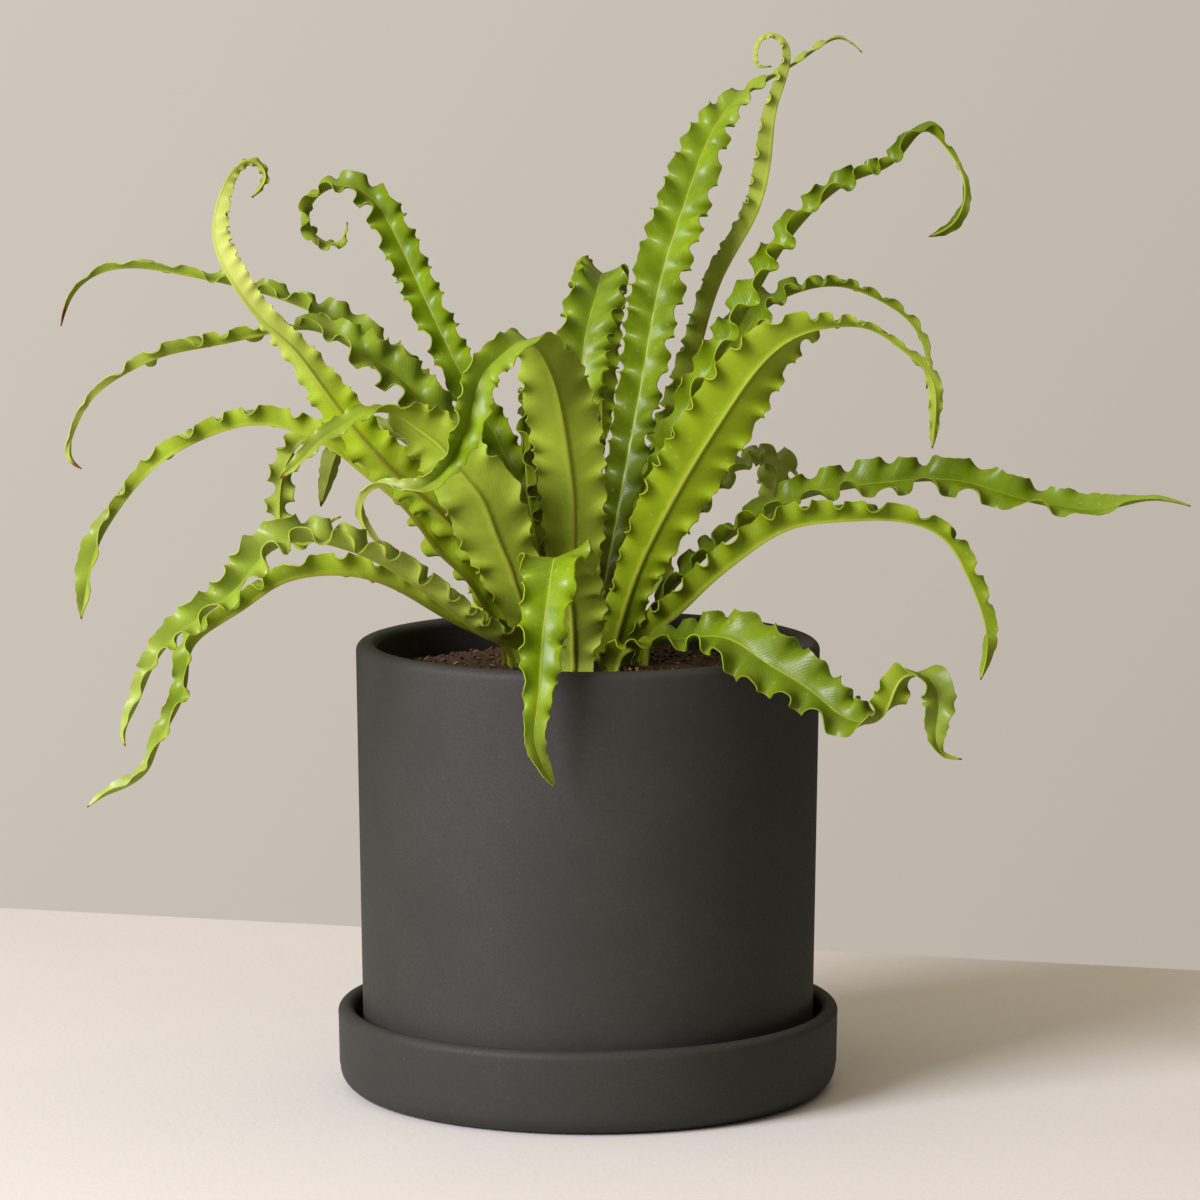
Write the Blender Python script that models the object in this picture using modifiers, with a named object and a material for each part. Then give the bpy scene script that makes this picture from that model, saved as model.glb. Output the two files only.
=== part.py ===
"""Potted bird's nest fern: a narrow, ruffled fern in a ceramic cylinder pot that stands in a saucer.

Metres, +Z up. The origin is on the table, under the middle of the saucer, and the front faces -Y.
"""

import math
from collections import namedtuple

import bmesh
import bpy
import numpy as np

MM = 0.001
GAP = 0.3 * MM  # between pieces that rest on or stand in one another
ROUND_STEPS = 40  # flat faces round each turned piece
BEND_STEPS = 2  # chords in each rounded edge

# Saucer
SAUCER_RIM_RADIUS = 89.5 * MM
SAUCER_BASE_RADIUS = 88.8 * MM
SAUCER_HEIGHT = 30 * MM
SAUCER_WALL = 6 * MM
SAUCER_FLOOR = 6 * MM
SAUCER_BASE_ROUND = 8 * MM
SAUCER_RIM_ROUND = 2.9 * MM
SAUCER_INNER_ROUND = 3 * MM

# Pot
POT_RIM_RADIUS = 82.5 * MM
POT_BASE_RADIUS = 80.4 * MM
POT_BOTTOM = SAUCER_FLOOR + GAP
POT_TOP = 160.4 * MM
POT_WALL = 7.4 * MM
POT_FLOOR = 8 * MM
POT_BASE_ROUND = 3 * MM
POT_RIM_ROUND = 3 * MM
DRAIN_RADIUS = 7 * MM

# Soil
SOIL_EDGE_TOP = 148 * MM
SOIL_MIDDLE_TOP = 155 * MM

# Crown, the short rhizome that every frond grows from
CROWN_X = -4 * MM
CROWN_Y = -2 * MM
CROWN_RADIUS = 31 * MM
CROWN_TOP = 156 * MM
CROWN_BOTTOM = 138 * MM
CROWN_EDGE_ROUND = 1.5 * MM
SOCKET_FLOOR = 146 * MM
SOCKET_RADIUS = 3.3 * MM
SOCKET_SIDES = 8
INNER, MIDDLE, OUTER = 8, 16, 26  # radii of the three circles of sockets, in mm

# Fronds
BLADE_THICK = 0.9 * MM
RIB_THICK = 2.4 * MM  # at the foot of the stalk, thinning to the blade's own thickness at the tip
STALK_WIDTH = 5  # mm
STALK_STRAIGHT = 9.5  # mm that stand upright in the socket
WAVE_LENGTH = 11.8  # mm, of the ruffled edge where a frond is widest
NARROW_WAVE = 0.6  # share of that length where it is narrowest
WAVE_HEIGHT = 0.13  # of the blade's width, up and down
PLAIN_FOOT = 0.10  # share of the length that stays unruffled over the soil
PLAIN_TIP = 0.03  # share of the length that stays unruffled at the tip

# A frond's midrib passes through hand-placed points: x, y, z and the blade's width in mm, then the
# blade's twist in degrees. With no twist the upper face looks to the rosette's axis as the frond
# rises, and up as it arches out. The fold is how far each half of the blade is raised, in degrees.
Frond = namedtuple("Frond", "name ring bearing fold midrib")

FRONDS = (
    Frond("frond_tall_1", INNER, 50, 18, (
        (4, 7, 170, 9, 25), (14, 17, 222, 16, 25), (20, 27, 254, 19, 25), (26, 38, 285, 22, 25),
        (37, 50, 319, 21, 25), (49, 62, 344, 15, 15), (65, 72, 356, 8, -15), (80, 78, 365, 6, -20),
        (92, 80, 371, 4, -20), (100, 80, 366, 1.5, -20))),
    Frond("frond_tall_2", MIDDLE, 60, 50, (
        (9, 19, 178, 9, -75), (27, 36, 222, 20, -75), (39, 48, 256, 22, -75), (49, 54, 287, 20, -75),
        (61, 56, 309, 17, -70), (66, 54, 331, 15, -65), (68, 50, 348, 10, -60), (72, 50, 361, 5.5, -60),
        (71, 50, 371, 4.5, -60), (65, 50, 374, 3.5, -60), (60, 50, 369, 3, -60), (61, 50, 362, 2.5, -60),
        (66, 50, 362, 1.5, -60))),
    Frond("frond_right_1", MIDDLE, 0, 35, (
        (12, -1, 175, 8, 50), (22, 3, 207, 12, 50), (35, 8, 241, 15, 40), (50, 12, 266, 17, 30),
        (70, 18, 300, 16, 30), (82, 20, 314, 14, 25), (95, 22, 323, 12, 30), (110, 24, 330, 10, 25),
        (120, 26, 340, 8, 10), (130, 24, 331, 6, 0), (134, 20, 320, 6, -40), (130, 16, 308, 5, -80),
        (121, 14, 303, 1.5, -90))),
    Frond("frond_right_2", MIDDLE, 34, 25, (
        (14, 9, 173, 8, 30), (29, 18, 208, 13, 20), (42, 30, 239, 18, 20), (54, 44, 260, 20, 15),
        (64, 56, 274, 19, 10), (79, 60, 281, 14, -10), (92, 62, 282, 11, -20), (106, 62, 277, 9, -20),
        (118, 60, 268, 8, -30), (123, 58, 256, 6, -40), (123, 56, 245, 2, -40))),
    Frond("frond_right_3", MIDDLE, 325, 20, (
        (12, -16, 170, 11, -55), (18, -24, 189, 17, -60), (26, -32, 207, 22, -55),
        (37, -40, 228, 26, -55), (49, -47, 248, 26, -50), (62, -53, 266, 24, -40),
        (73, -56, 274, 19, -25), (85, -57, 277, 14, 0), (97, -56, 276, 10, 15),
        (109, -54, 268, 8, 0), (118, -52, 259, 8, -30), (120, -50, 247, 7, -70), (119, -48, 234, 1.5, -75))),
    Frond("frond_right_4", OUTER, 15, 25, (
        (22, 6, 165, 9, -10), (34, 11, 182, 14, -5), (51, 15, 196, 17, 0), (73, 19, 208, 18, 10),
        (94, 20, 213, 16, 20), (112, 20, 215, 15, 25), (133, 20, 215, 14, 30), (151, 19, 210, 13, 30),
        (169, 18, 206, 12, 30), (187, 16, 206, 9, 20), (201, 14, 209, 6, 0), (215, 12, 207, 1.5, 0))),
    Frond("frond_right_5", OUTER, 342, 45, (
        (22, -13, 163, 10, -30), (31, -18, 172, 14, -30), (42, -22, 183, 17, -30),
        (56, -26, 195, 18, -35), (71, -28, 204, 18, -30), (91, -30, 207, 15, -25),
        (109, -31, 207, 13, -15), (124, -31, 201, 12, -15), (133, -30, 187, 11, -15),
        (139, -28, 171, 9, -30), (140, -27, 159, 6, -80), (138, -26, 150, 1.5, -100))),
    Frond("frond_right_6", OUTER, 46, 20, (
        (17, 21, 168, 9, -45), (29, 31, 187, 13, -35), (41, 44, 204, 16, -15), (53, 57, 215, 18, 0),
        (62, 68, 218, 18, -5), (69, 78, 214, 17, -10), (69, 86, 205, 14, -15), (68, 92, 196, 9, -15),
        (67, 95, 189, 2, -15))),
    Frond("frond_front_1", OUTER, 268, 15, (
        (-5, -32, 163, 12, 0), (-6, -44, 181, 22, 0), (-9, -58, 193, 26, 0), (-11, -68, 198, 26, 0),
        (-13, -80, 189, 20, -5), (-15, -87, 176, 18, -15), (-16, -92, 164, 15, -20),
        (-17, -95, 151, 10, -20), (-18, -96, 140, 8, -40), (-15, -95, 130, 6, -60),
        (-11, -94, 123, 1.5, -70))),
    Frond("frond_front_2", OUTER, 305, 20, (
        (14, -29, 161, 9, -20), (22, -39, 164, 13, -10), (35, -52, 168, 18, 10),
        (49, -62, 169, 24, 35), (62, -71, 162, 26, 45), (76, -78, 154, 22, 45),
        (89, -85, 145, 18, 40), (98, -88, 145, 14, 0), (103, -90, 152, 13, -60),
        (108, -92, 161, 12, -50), (116, -95, 160, 13, 30), (119, -96, 152, 12, 60),
        (118, -96, 141, 7, 60), (120, -96, 135, 3, 20), (127, -96, 133, 1.5, 0))),
    Frond("frond_front_3", INNER, 275, 15, (
        (-4, -13, 169, 12, -5), (-5, -18, 192, 20, -5), (-5, -22, 211, 24, -5), (-7, -26, 231, 26, -5),
        (-10, -31, 249, 26, 0), (-14, -38, 262, 24, -5), (-21, -47, 271, 20, -45),
        (-29, -54, 267, 18, -85), (-36, -58, 260, 20, -95), (-40, -60, 248, 20, -105),
        (-44, -61, 236, 18, -105), (-51, -62, 226, 13, -95), (-59, -62, 221, 9, -55),
        (-70, -59, 222, 6, -20), (-75, -57, 220, 5, 0), (-78, -54, 213, 4.5, 20),
        (-76, -51, 206, 4, 60), (-70, -48, 198, 1.5, 70))),
    Frond("frond_back_1", INNER, 115, 20, (
        (-8, 9, 167, 8, -25), (-7, 19, 209, 12, -25), (-3, 29, 244, 19, -25), (-1, 36, 265, 22, -25),
        (3, 48, 280, 22, -25), (5, 64, 286, 20, -25), (6, 84, 280, 17, -25), (6, 100, 263, 14, -25),
        (5, 111, 243, 12, -25), (5, 116, 228, 8, -25), (5, 118, 217, 1.5, -25))),
    Frond("frond_back_2", INNER, 190, 35, (
        (-13, -2, 166, 7, 0), (-16, 2, 185, 9, -20), (-20, 7, 206, 12, -30), (-22, 15, 226, 13, -45),
        (-22, 28, 238, 13, -60), (-22, 44, 241, 12, -60), (-23, 60, 235, 11, -60),
        (-24, 73, 220, 8, -60), (-25, 80, 204, 2, -60))),
    Frond("frond_back_3", OUTER, 76, 30, (
        (6, 34, 172, 10, 0), (12, 60, 202, 17, 0), (18, 95, 214, 19, 0), (24, 130, 200, 16, 0),
        (28, 153, 166, 10, 0), (30, 166, 126, 1.5, 0))),
    Frond("frond_back_4", OUTER, 108, 30, (
        (-15, 33, 168, 10, 0), (-23, 58, 184, 16, 0), (-32, 90, 188, 18, 0), (-38, 120, 172, 15, 0),
        (-41, 141, 142, 10, 0), (-42, 150, 110, 1.5, 0))),
    Frond("frond_back_5", MIDDLE, 92, 30, (
        (-4, 24, 180, 10, 0), (-3, 46, 210, 16, 0), (-2, 75, 222, 18, 0), (-2, 104, 208, 16, 0),
        (-4, 128, 174, 10, 0), (-6, 141, 135, 1.5, 0))),
    Frond("frond_left_1", MIDDLE, 125, 20, (
        (-14, 13, 166, 8, -15), (-18, 19, 187, 11, -15), (-25, 25, 212, 14, -20),
        (-35, 31, 233, 15, -25), (-45, 36, 251, 15, -35), (-58, 42, 277, 15, -35),
        (-71, 48, 304, 14, -30), (-79, 50, 315, 12, -10), (-89, 50, 319, 10, 20),
        (-98, 50, 315, 9, 45), (-101, 50, 308, 8, 55), (-97, 50, 300, 7, 55), (-90, 50, 299, 5, 55),
        (-87, 50, 306, 1.5, 55))),
    Frond("frond_left_2", MIDDLE, 155, 30, (
        (-21, 7, 167, 8, -5), (-32, 14, 194, 13, -15), (-44, 24, 218, 16, -20), (-57, 33, 239, 18, -20),
        (-70, 40, 254, 18, -25), (-84, 44, 266, 17, -25), (-99, 46, 274, 15, -15),
        (-122, 47, 282, 11, 5), (-149, 45, 288, 8, 10), (-163, 44, 290, 8, 20), (-176, 43, 288, 6, 30),
        (-185, 42, 281, 4.5, 30), (-190, 41, 269, 1.5, 30))),
    Frond("frond_left_3", MIDDLE, 180, 30, (
        (-21, 0, 168, 8, -30), (-30, 4, 189, 12, -40), (-38, 8, 210, 16, -50), (-47, 12, 229, 19, -60),
        (-58, 14, 243, 20, -60), (-70, 14, 255, 20, -60), (-84, 12, 264, 18, -50),
        (-97, 14, 270, 14, -15), (-107, 13, 270, 11, 10), (-133, 9, 265, 11, 15),
        (-149, 4, 262, 10, 15), (-163, 0, 256, 7, 15), (-175, -2, 247, 5, 20),
        (-182, -3, 234, 4, 30), (-183, -3, 226, 2.5, 60), (-179, -3, 222, 1.5, 60))),
    Frond("frond_left_4", MIDDLE, 208, 25, (
        (-22, -15, 170, 9, 45), (-31, -19, 184, 14, 50), (-41, -23, 197, 17, 50),
        (-50, -27, 208, 18, 55), (-62, -29, 219, 19, 60), (-73, -28, 229, 19, 65),
        (-83, -25, 240, 18, 70), (-94, -20, 254, 16, 75), (-104, -14, 266, 14, 70),
        (-116, -8, 276, 14, 70), (-126, -2, 289, 14, 70), (-132, 4, 303, 14, 70),
        (-130, 8, 318, 11, 100), (-124, 10, 328, 7, 130), (-118, 11, 330, 5, 160),
        (-114, 11, 325, 4, 165), (-119, 11, 317, 1.5, 165))),
    Frond("frond_left_5", MIDDLE, 240, 15, (
        (-15, -20, 164, 9, 45), (-22, -27, 175, 16, 40), (-27, -32, 190, 22, 40),
        (-32, -36, 203, 27, 40), (-37, -40, 216, 28, 35), (-44, -42, 225, 26, 35),
        (-51, -42, 234, 24, 30), (-60, -42, 241, 20, 15), (-68, -44, 246, 16, -20),
        (-76, -47, 246, 13, -55), (-84, -50, 242, 12, -75), (-92, -52, 237, 12, -85),
        (-99, -53, 230, 8, -85), (-106, -53, 224, 1.5, -85))),
    Frond("frond_left_6", OUTER, 186, 45, (
        (-31, -7, 163, 9, 35), (-36, -9, 173, 13, 60), (-43, -11, 184, 16, 60),
        (-52, -12, 193, 18, 60), (-61, -12, 205, 18, 55), (-70, -10, 214, 17, 50),
        (-79, -8, 221, 16, 40), (-91, -6, 230, 15, 30), (-114, -3, 238, 14, 25),
        (-128, -2, 236, 13, 20), (-142, -1, 230, 12, 15), (-155, 0, 221, 10, 15),
        (-168, 0, 205, 9, 0), (-174, 0, 194, 10, -50), (-178, 0, 180, 8, -70),
        (-180, 0, 168, 2, -70))),
    Frond("frond_left_7", OUTER, 163, 30, (
        (-30, 6, 163, 8, 10), (-42, 10, 182, 12, 5), (-56, 16, 202, 15, 5), (-71, 22, 217, 16, 5),
        (-85, 26, 228, 16, 0), (-98, 28, 231, 15, 25), (-106, 29, 225, 14, 55), (-110, 29, 215, 13, 80),
        (-111, 29, 204, 11, 85), (-109, 29, 195, 8, 95), (-102, 30, 191, 5, 110), (-95, 31, 197, 3, 120),
        (-89, 31, 201, 1.5, 120))),
    Frond("frond_left_8", OUTER, 138, 25, (
        (-24, 16, 165, 8, 15), (-35, 24, 188, 12, 10), (-48, 34, 207, 14, 10), (-61, 42, 222, 15, 5),
        (-74, 46, 231, 14, 10), (-84, 48, 231, 12, 30), (-91, 48, 223, 10, 65), (-94, 47, 214, 8, 75),
        (-97, 46, 203, 1.5, 75))),
    Frond("frond_left_9", OUTER, 228, 40, (
        (-24, -25, 161, 9, 10), (-34, -34, 166, 13, -5), (-46, -44, 176, 16, -15),
        (-59, -54, 187, 18, -15), (-73, -62, 197, 18, -20), (-87, -68, 203, 18, -30),
        (-98, -72, 205, 19, -30), (-109, -75, 201, 20, -45), (-117, -77, 192, 18, -55),
        (-127, -79, 183, 16, -55), (-139, -80, 174, 14, -45), (-148, -80, 163, 11, -40),
        (-154, -80, 149, 8, -30), (-158, -80, 140, 4, -25), (-158, -80, 135, 1.5, -25))),
    Frond("frond_left_10", OUTER, 207, 40, (
        (-30, -16, 161, 9, 25), (-40, -22, 167, 12, 20), (-52, -28, 174, 15, 20),
        (-66, -33, 183, 16, 25), (-79, -36, 188, 16, 30), (-93, -38, 189, 15, 25),
        (-107, -40, 186, 14, 15), (-119, -41, 178, 13, 5), (-130, -42, 171, 13, -5),
        (-138, -42, 163, 12, -30), (-140, -42, 150, 11, -45), (-150, -42, 129, 8, -30),
        (-154, -41, 120, 7, -15), (-162, -40, 114, 8, -15), (-169, -40, 111, 5, -15),
        (-175, -40, 107, 1.5, -20))),
)

# Colours, as linear red, green and blue
CHARCOAL = (0.065, 0.064, 0.054)
SOIL_BROWN = (0.045, 0.020, 0.010)
CROWN_BROWN = (0.060, 0.030, 0.012)
LEAF_GREEN = (0.160, 0.300, 0.012)


def clear_scene():
    """Remove every object of the scene that the script was opened in."""
    for thing in list(bpy.data.objects):
        bpy.data.objects.remove(thing, do_unlink=True)


def new_collection(name):
    """Make a collection and link it to the scene."""
    made = bpy.data.collections.new(name)
    bpy.context.scene.collection.children.link(made)
    return made


def new_material(name, colour, roughness):
    """Make a plain surface of one colour."""
    material = bpy.data.materials.new(name)
    material.use_nodes = True
    surface = material.node_tree.nodes["Principled BSDF"]
    surface.inputs["Base Color"].default_value = (*colour, 1)
    surface.inputs["Roughness"].default_value = roughness
    surface.inputs["Metallic"].default_value = 0
    material.diffuse_color = (*colour, 1)
    return material


def new_object(name, mesh, collection, material=None):
    """Put a mesh into the scene as a named object."""
    made = bpy.data.objects.new(name, mesh)
    collection.objects.link(made)
    if material:
        mesh.materials.append(material)
    return made


def arc(centre_x, centre_z, radius, start, end):
    """Points along a quarter bend of a profile, between two angles in degrees."""
    angles = np.radians(np.linspace(start, end, BEND_STEPS + 1))
    return [(centre_x + radius * math.cos(a), centre_z + radius * math.sin(a)) for a in angles]


def turned(name, profile, collection, material, closed=True):
    """Turn a profile of (radius, height) points, from the rim down the outside, round +Z."""
    mesh = bpy.data.meshes.new(name)
    points = [(radius, 0, height) for radius, height in profile]
    edges = [(i, i + 1) for i in range(len(points) - 1)]
    if closed:
        edges.append((len(points) - 1, 0))
    mesh.from_pydata(points, edges, [])
    made = new_object(name, mesh, collection, material)
    screw = made.modifiers.new("Turn", "SCREW")
    screw.steps = ROUND_STEPS
    screw.render_steps = ROUND_STEPS
    screw.use_merge_vertices = True
    screw.merge_threshold = 0.00001
    return made


def pot_outer_radius(height):
    """The pot's outer radius at a height, along its slight taper."""
    share = (height - POT_BOTTOM) / (POT_TOP - POT_BOTTOM)
    return POT_BASE_RADIUS + share * (POT_RIM_RADIUS - POT_BASE_RADIUS)


def make_saucer(collection, material):
    """A thick round tray with a rounded foot and rim."""
    inner = SAUCER_RIM_RADIUS - SAUCER_WALL
    rim_z = SAUCER_HEIGHT - SAUCER_RIM_ROUND
    profile = [(0, SAUCER_FLOOR)]
    profile += [(inner - SAUCER_INNER_ROUND, SAUCER_FLOOR), (inner, SAUCER_FLOOR + SAUCER_INNER_ROUND)]
    profile += arc(inner + SAUCER_RIM_ROUND, rim_z, SAUCER_RIM_ROUND, 180, 90)
    profile += arc(SAUCER_RIM_RADIUS - SAUCER_RIM_ROUND, rim_z, SAUCER_RIM_ROUND, 90, 0)
    profile += arc(SAUCER_BASE_RADIUS - SAUCER_BASE_ROUND, SAUCER_BASE_ROUND, SAUCER_BASE_ROUND, 0, -90)
    profile += [(0, 0)]
    return turned("saucer", profile, collection, material, closed=False)


def make_pot(collection, material):
    """A cylinder with a slight taper, a rounded rim and a drain hole."""
    rim_z = POT_TOP - POT_RIM_ROUND
    floor_top = POT_BOTTOM + POT_FLOOR
    rim_outer = pot_outer_radius(rim_z)
    foot = arc(POT_BASE_RADIUS - POT_BASE_ROUND, POT_BOTTOM + POT_BASE_ROUND, POT_BASE_ROUND, 0, -90)
    profile = arc(rim_outer - POT_RIM_ROUND, rim_z, POT_RIM_ROUND, 90, 0) + foot
    profile += [(DRAIN_RADIUS, POT_BOTTOM), (DRAIN_RADIUS, floor_top)]
    profile += [(pot_outer_radius(floor_top) - POT_WALL, floor_top)]
    profile += arc(rim_outer - POT_WALL + POT_RIM_ROUND, rim_z, POT_RIM_ROUND, 180, 90)
    return turned("pot", profile, collection, material)


def make_soil(collection, material, cutters):
    """The potting mix: it fills the pot to below the rim and rises a little to the crown."""
    floor_z = POT_BOTTOM + POT_FLOOR + GAP
    base_radius = pot_outer_radius(floor_z) - POT_WALL - GAP
    edge_radius = pot_outer_radius(SOIL_EDGE_TOP) - POT_WALL - GAP
    mound_radius = 0.62 * edge_radius
    mound_top = SOIL_EDGE_TOP + 0.75 * (SOIL_MIDDLE_TOP - SOIL_EDGE_TOP)
    profile = [(0, SOIL_MIDDLE_TOP), (mound_radius, mound_top), (edge_radius, SOIL_EDGE_TOP)]
    profile += [(base_radius, floor_z), (0, floor_z)]
    soil = turned("soil", profile, collection, material, closed=False)
    recess = upright_cutter("crown_recess", CROWN_X, CROWN_Y, CROWN_RADIUS + GAP,
                            CROWN_BOTTOM - GAP, CROWN_TOP + CROWN_EDGE_ROUND, ROUND_STEPS, cutters)
    cut(soil, recess)
    return soil


def upright_cutter(name, x, y, radius, bottom, top, sides, cutters):
    """A guide cylinder on a vertical axis."""
    mesh = bpy.data.meshes.new(name)
    form = bmesh.new()
    bmesh.ops.create_cone(form, cap_ends=True, segments=sides, radius1=radius, radius2=radius,
                          depth=top - bottom)
    form.to_mesh(mesh)
    form.free()
    cutter = new_object(name, mesh, cutters)
    cutter.location = (x, y, (bottom + top) / 2)
    cutter.hide_render = True
    cutter.display_type = "WIRE"
    return cutter


def cut(target, cutter):
    """Subtract one guide object from a piece."""
    difference = target.modifiers.new("Cut", "BOOLEAN")
    difference.operation = "DIFFERENCE"
    difference.solver = "EXACT"
    difference.object = cutter


def socket_place(frond):
    """Where a frond's stalk stands in the crown, in mm."""
    turn = math.radians(frond.bearing)
    x = CROWN_X / MM + frond.ring * math.cos(turn)
    y = CROWN_Y / MM + frond.ring * math.sin(turn)
    return x, y


def make_crown(collection, material, cutters, sockets):
    """A squat stump set in the soil, with one socket for each frond's stalk."""
    profile = [(0, CROWN_TOP)]
    profile += arc(CROWN_RADIUS - CROWN_EDGE_ROUND, CROWN_TOP - CROWN_EDGE_ROUND, CROWN_EDGE_ROUND, 90, 0)
    profile += [(CROWN_RADIUS, CROWN_BOTTOM), (0, CROWN_BOTTOM)]
    crown = turned("crown", profile, collection, material, closed=False)
    crown.location = (CROWN_X, CROWN_Y, 0)
    for frond in FRONDS:
        x, y = socket_place(frond)
        upright_cutter("socket_of_" + frond.name, x * MM, y * MM, SOCKET_RADIUS,
                       SOCKET_FLOOR, CROWN_TOP + CROWN_EDGE_ROUND, SOCKET_SIDES, sockets)
    difference = crown.modifiers.new("Sockets", "BOOLEAN")
    difference.operation = "DIFFERENCE"
    difference.solver = "EXACT"
    difference.operand_type = "COLLECTION"
    difference.collection = sockets
    return crown


def smooth_through(knots, values, places):
    """Read a natural cubic curve through the values at the knots, at other places."""
    step = np.diff(knots)
    slope = np.diff(values, axis=0) / step[:, None]
    count = len(knots)
    matrix = np.eye(count)
    right = np.zeros_like(values)
    for i in range(1, count - 1):
        matrix[i, i - 1:i + 2] = step[i - 1], 2 * (step[i - 1] + step[i]), step[i]
        right[i] = 6 * (slope[i] - slope[i - 1])
    bend = np.linalg.solve(matrix, right)
    left = np.clip(np.searchsorted(knots, places) - 1, 0, count - 2)
    span = step[left][:, None]
    before = (places - knots[left])[:, None]
    after = (knots[left + 1] - places)[:, None]
    cubic = (bend[left] * after ** 3 + bend[left + 1] * before ** 3) / (6 * span)
    start = (values[left] / span - bend[left] * span / 6) * after
    end = (values[left + 1] / span - bend[left + 1] * span / 6) * before
    return cubic + start + end


def unit(vectors):
    """The vectors at length 1."""
    return vectors / np.linalg.norm(vectors, axis=-1, keepdims=True)


def midrib_of(frond):
    """Lay a frond's midrib out finely: its points, its half widths, and its side and face directions."""
    x, y = socket_place(frond)
    twist = frond.midrib[0][4]
    foot_z = (SOCKET_FLOOR + GAP) / MM
    foot = [(x, y, foot_z, STALK_WIDTH, twist), (x, y, foot_z + STALK_STRAIGHT, STALK_WIDTH, twist)]
    route = np.array(foot + list(frond.midrib), float)
    chords = np.linalg.norm(np.diff(route[:, :3], axis=0), axis=1)
    knots = np.concatenate([[0], np.cumsum(chords ** 0.75)])
    fine = smooth_through(knots, route, np.linspace(0, knots[-1], 800))
    along = np.concatenate([[0], np.cumsum(np.linalg.norm(np.diff(fine[:, :3], axis=0), axis=1))])
    even = np.linspace(0, along[-1], int(along[-1]) + 1)
    fine = np.stack([np.interp(even, along, column) for column in fine.T], axis=1)
    heading = unit(np.gradient(fine[:, :3], axis=0))
    turn = math.radians(frond.bearing)
    side = np.array([-math.sin(turn), math.cos(turn), 0])
    sides = np.empty_like(heading)
    for i, ahead in enumerate(heading):
        side = unit(side - side.dot(ahead) * ahead)
        sides[i] = side
    faces = np.cross(heading, sides)
    angle = np.radians(fine[:, 4])[:, None]
    turned_sides = sides * np.cos(angle) + faces * np.sin(angle)
    turned_faces = faces * np.cos(angle) - sides * np.sin(angle)
    half_width = np.maximum(fine[:, 3], 1.2) / 2
    return even, fine[:, :3], half_width, turned_sides, turned_faces


def wave_count(even, half_width):
    """How many waves the edge has made by each place along the midrib."""
    share = half_width / half_width.max()
    length = WAVE_LENGTH * (NARROW_WAVE + (1 - NARROW_WAVE) * share)
    return np.concatenate([[0], np.cumsum(np.diff(even) / length[1:])])


def wave_height(even, half_width):
    """How far the edge waves up and down at each place, in mm."""
    share = even / even[-1]
    rise = np.clip((share - PLAIN_FOOT) / PLAIN_FOOT, 0, 1)
    fall = np.clip((1 - share) / PLAIN_TIP - 1, 0, 1)
    return 2 * half_width * WAVE_HEIGHT * rise * fall


def make_frond(frond, collection, material):
    """A ruffled blade: a grid along the midrib, waved up and down at each half wave, made thick."""
    even, middle, half_width, sides, faces = midrib_of(frond)
    waves = wave_count(even, half_width)
    height = wave_height(even, half_width)
    rows = int(round(2 * waves[-1]))
    places = np.interp(np.linspace(0, waves[-1], rows + 1), waves, even)
    fold = math.radians(frond.fold)
    form = bmesh.new()
    bmesh.ops.create_grid(form, x_segments=2, y_segments=rows, size=1)
    mesh = bpy.data.meshes.new(frond.name)
    thickness = form.verts.layers.deform.verify()
    for vertex in form.verts:
        row = int(round((vertex.co.y + 1) / 2 * rows))
        across = round(vertex.co.x)
        at = np.array([np.interp(places[row], even, column) for column in middle.T])
        side = np.array([np.interp(places[row], even, column) for column in sides.T])
        face = np.array([np.interp(places[row], even, column) for column in faces.T])
        reach = np.interp(places[row], even, half_width)
        wave = np.interp(places[row], even, height) * (-1) ** row
        outward = across * math.cos(fold) * side + abs(across) * math.sin(fold) * face
        upward = math.cos(fold) * face - across * math.sin(fold) * side
        vertex.co = (at + reach * outward + abs(across) * wave * upward) * MM
        rib = RIB_THICK + (BLADE_THICK - RIB_THICK) * row / rows
        vertex[thickness][0] = (BLADE_THICK if across else rib) / RIB_THICK
    bmesh.ops.triangulate(form, faces=form.faces[:])
    form.to_mesh(mesh)
    form.free()
    made = new_object(frond.name, mesh, collection, material)
    made.vertex_groups.new(name="thickness")
    shell = made.modifiers.new("Thickness", "SOLIDIFY")
    shell.thickness = RIB_THICK
    shell.offset = 0
    shell.vertex_group = "thickness"
    return made


def main():
    """Model the saucer, the pot, the soil, the crown and the fronds."""
    clear_scene()
    parts = new_collection("potted_birds_nest_fern")
    cutters = new_collection("cutters")
    sockets = new_collection("socket_cutters")
    ceramic = new_material("charcoal ceramic", CHARCOAL, 0.65)
    earth = new_material("potting mix", SOIL_BROWN, 0.95)
    fibre = new_material("crown fibre", CROWN_BROWN, 0.9)
    leaf = new_material("fern leaf", LEAF_GREEN, 0.35)
    make_saucer(parts, ceramic)
    make_pot(parts, ceramic)
    make_soil(parts, earth, cutters)
    make_crown(parts, fibre, cutters, sockets)
    for frond in FRONDS:
        make_frond(frond, parts, leaf)


main()
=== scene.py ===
"""Looks of the potted bird's nest fern: ruffled fronds, potting mix, matte ceramics and a plain studio.

Metres, +Z up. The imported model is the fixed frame, and each piece made here stands for one of its nodes.
"""

import math
import random
from collections import namedtuple

import bpy
import numpy as np
from bpy.props import FloatProperty, FloatVectorProperty, IntProperty, PointerProperty
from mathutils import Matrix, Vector, noise


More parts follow.
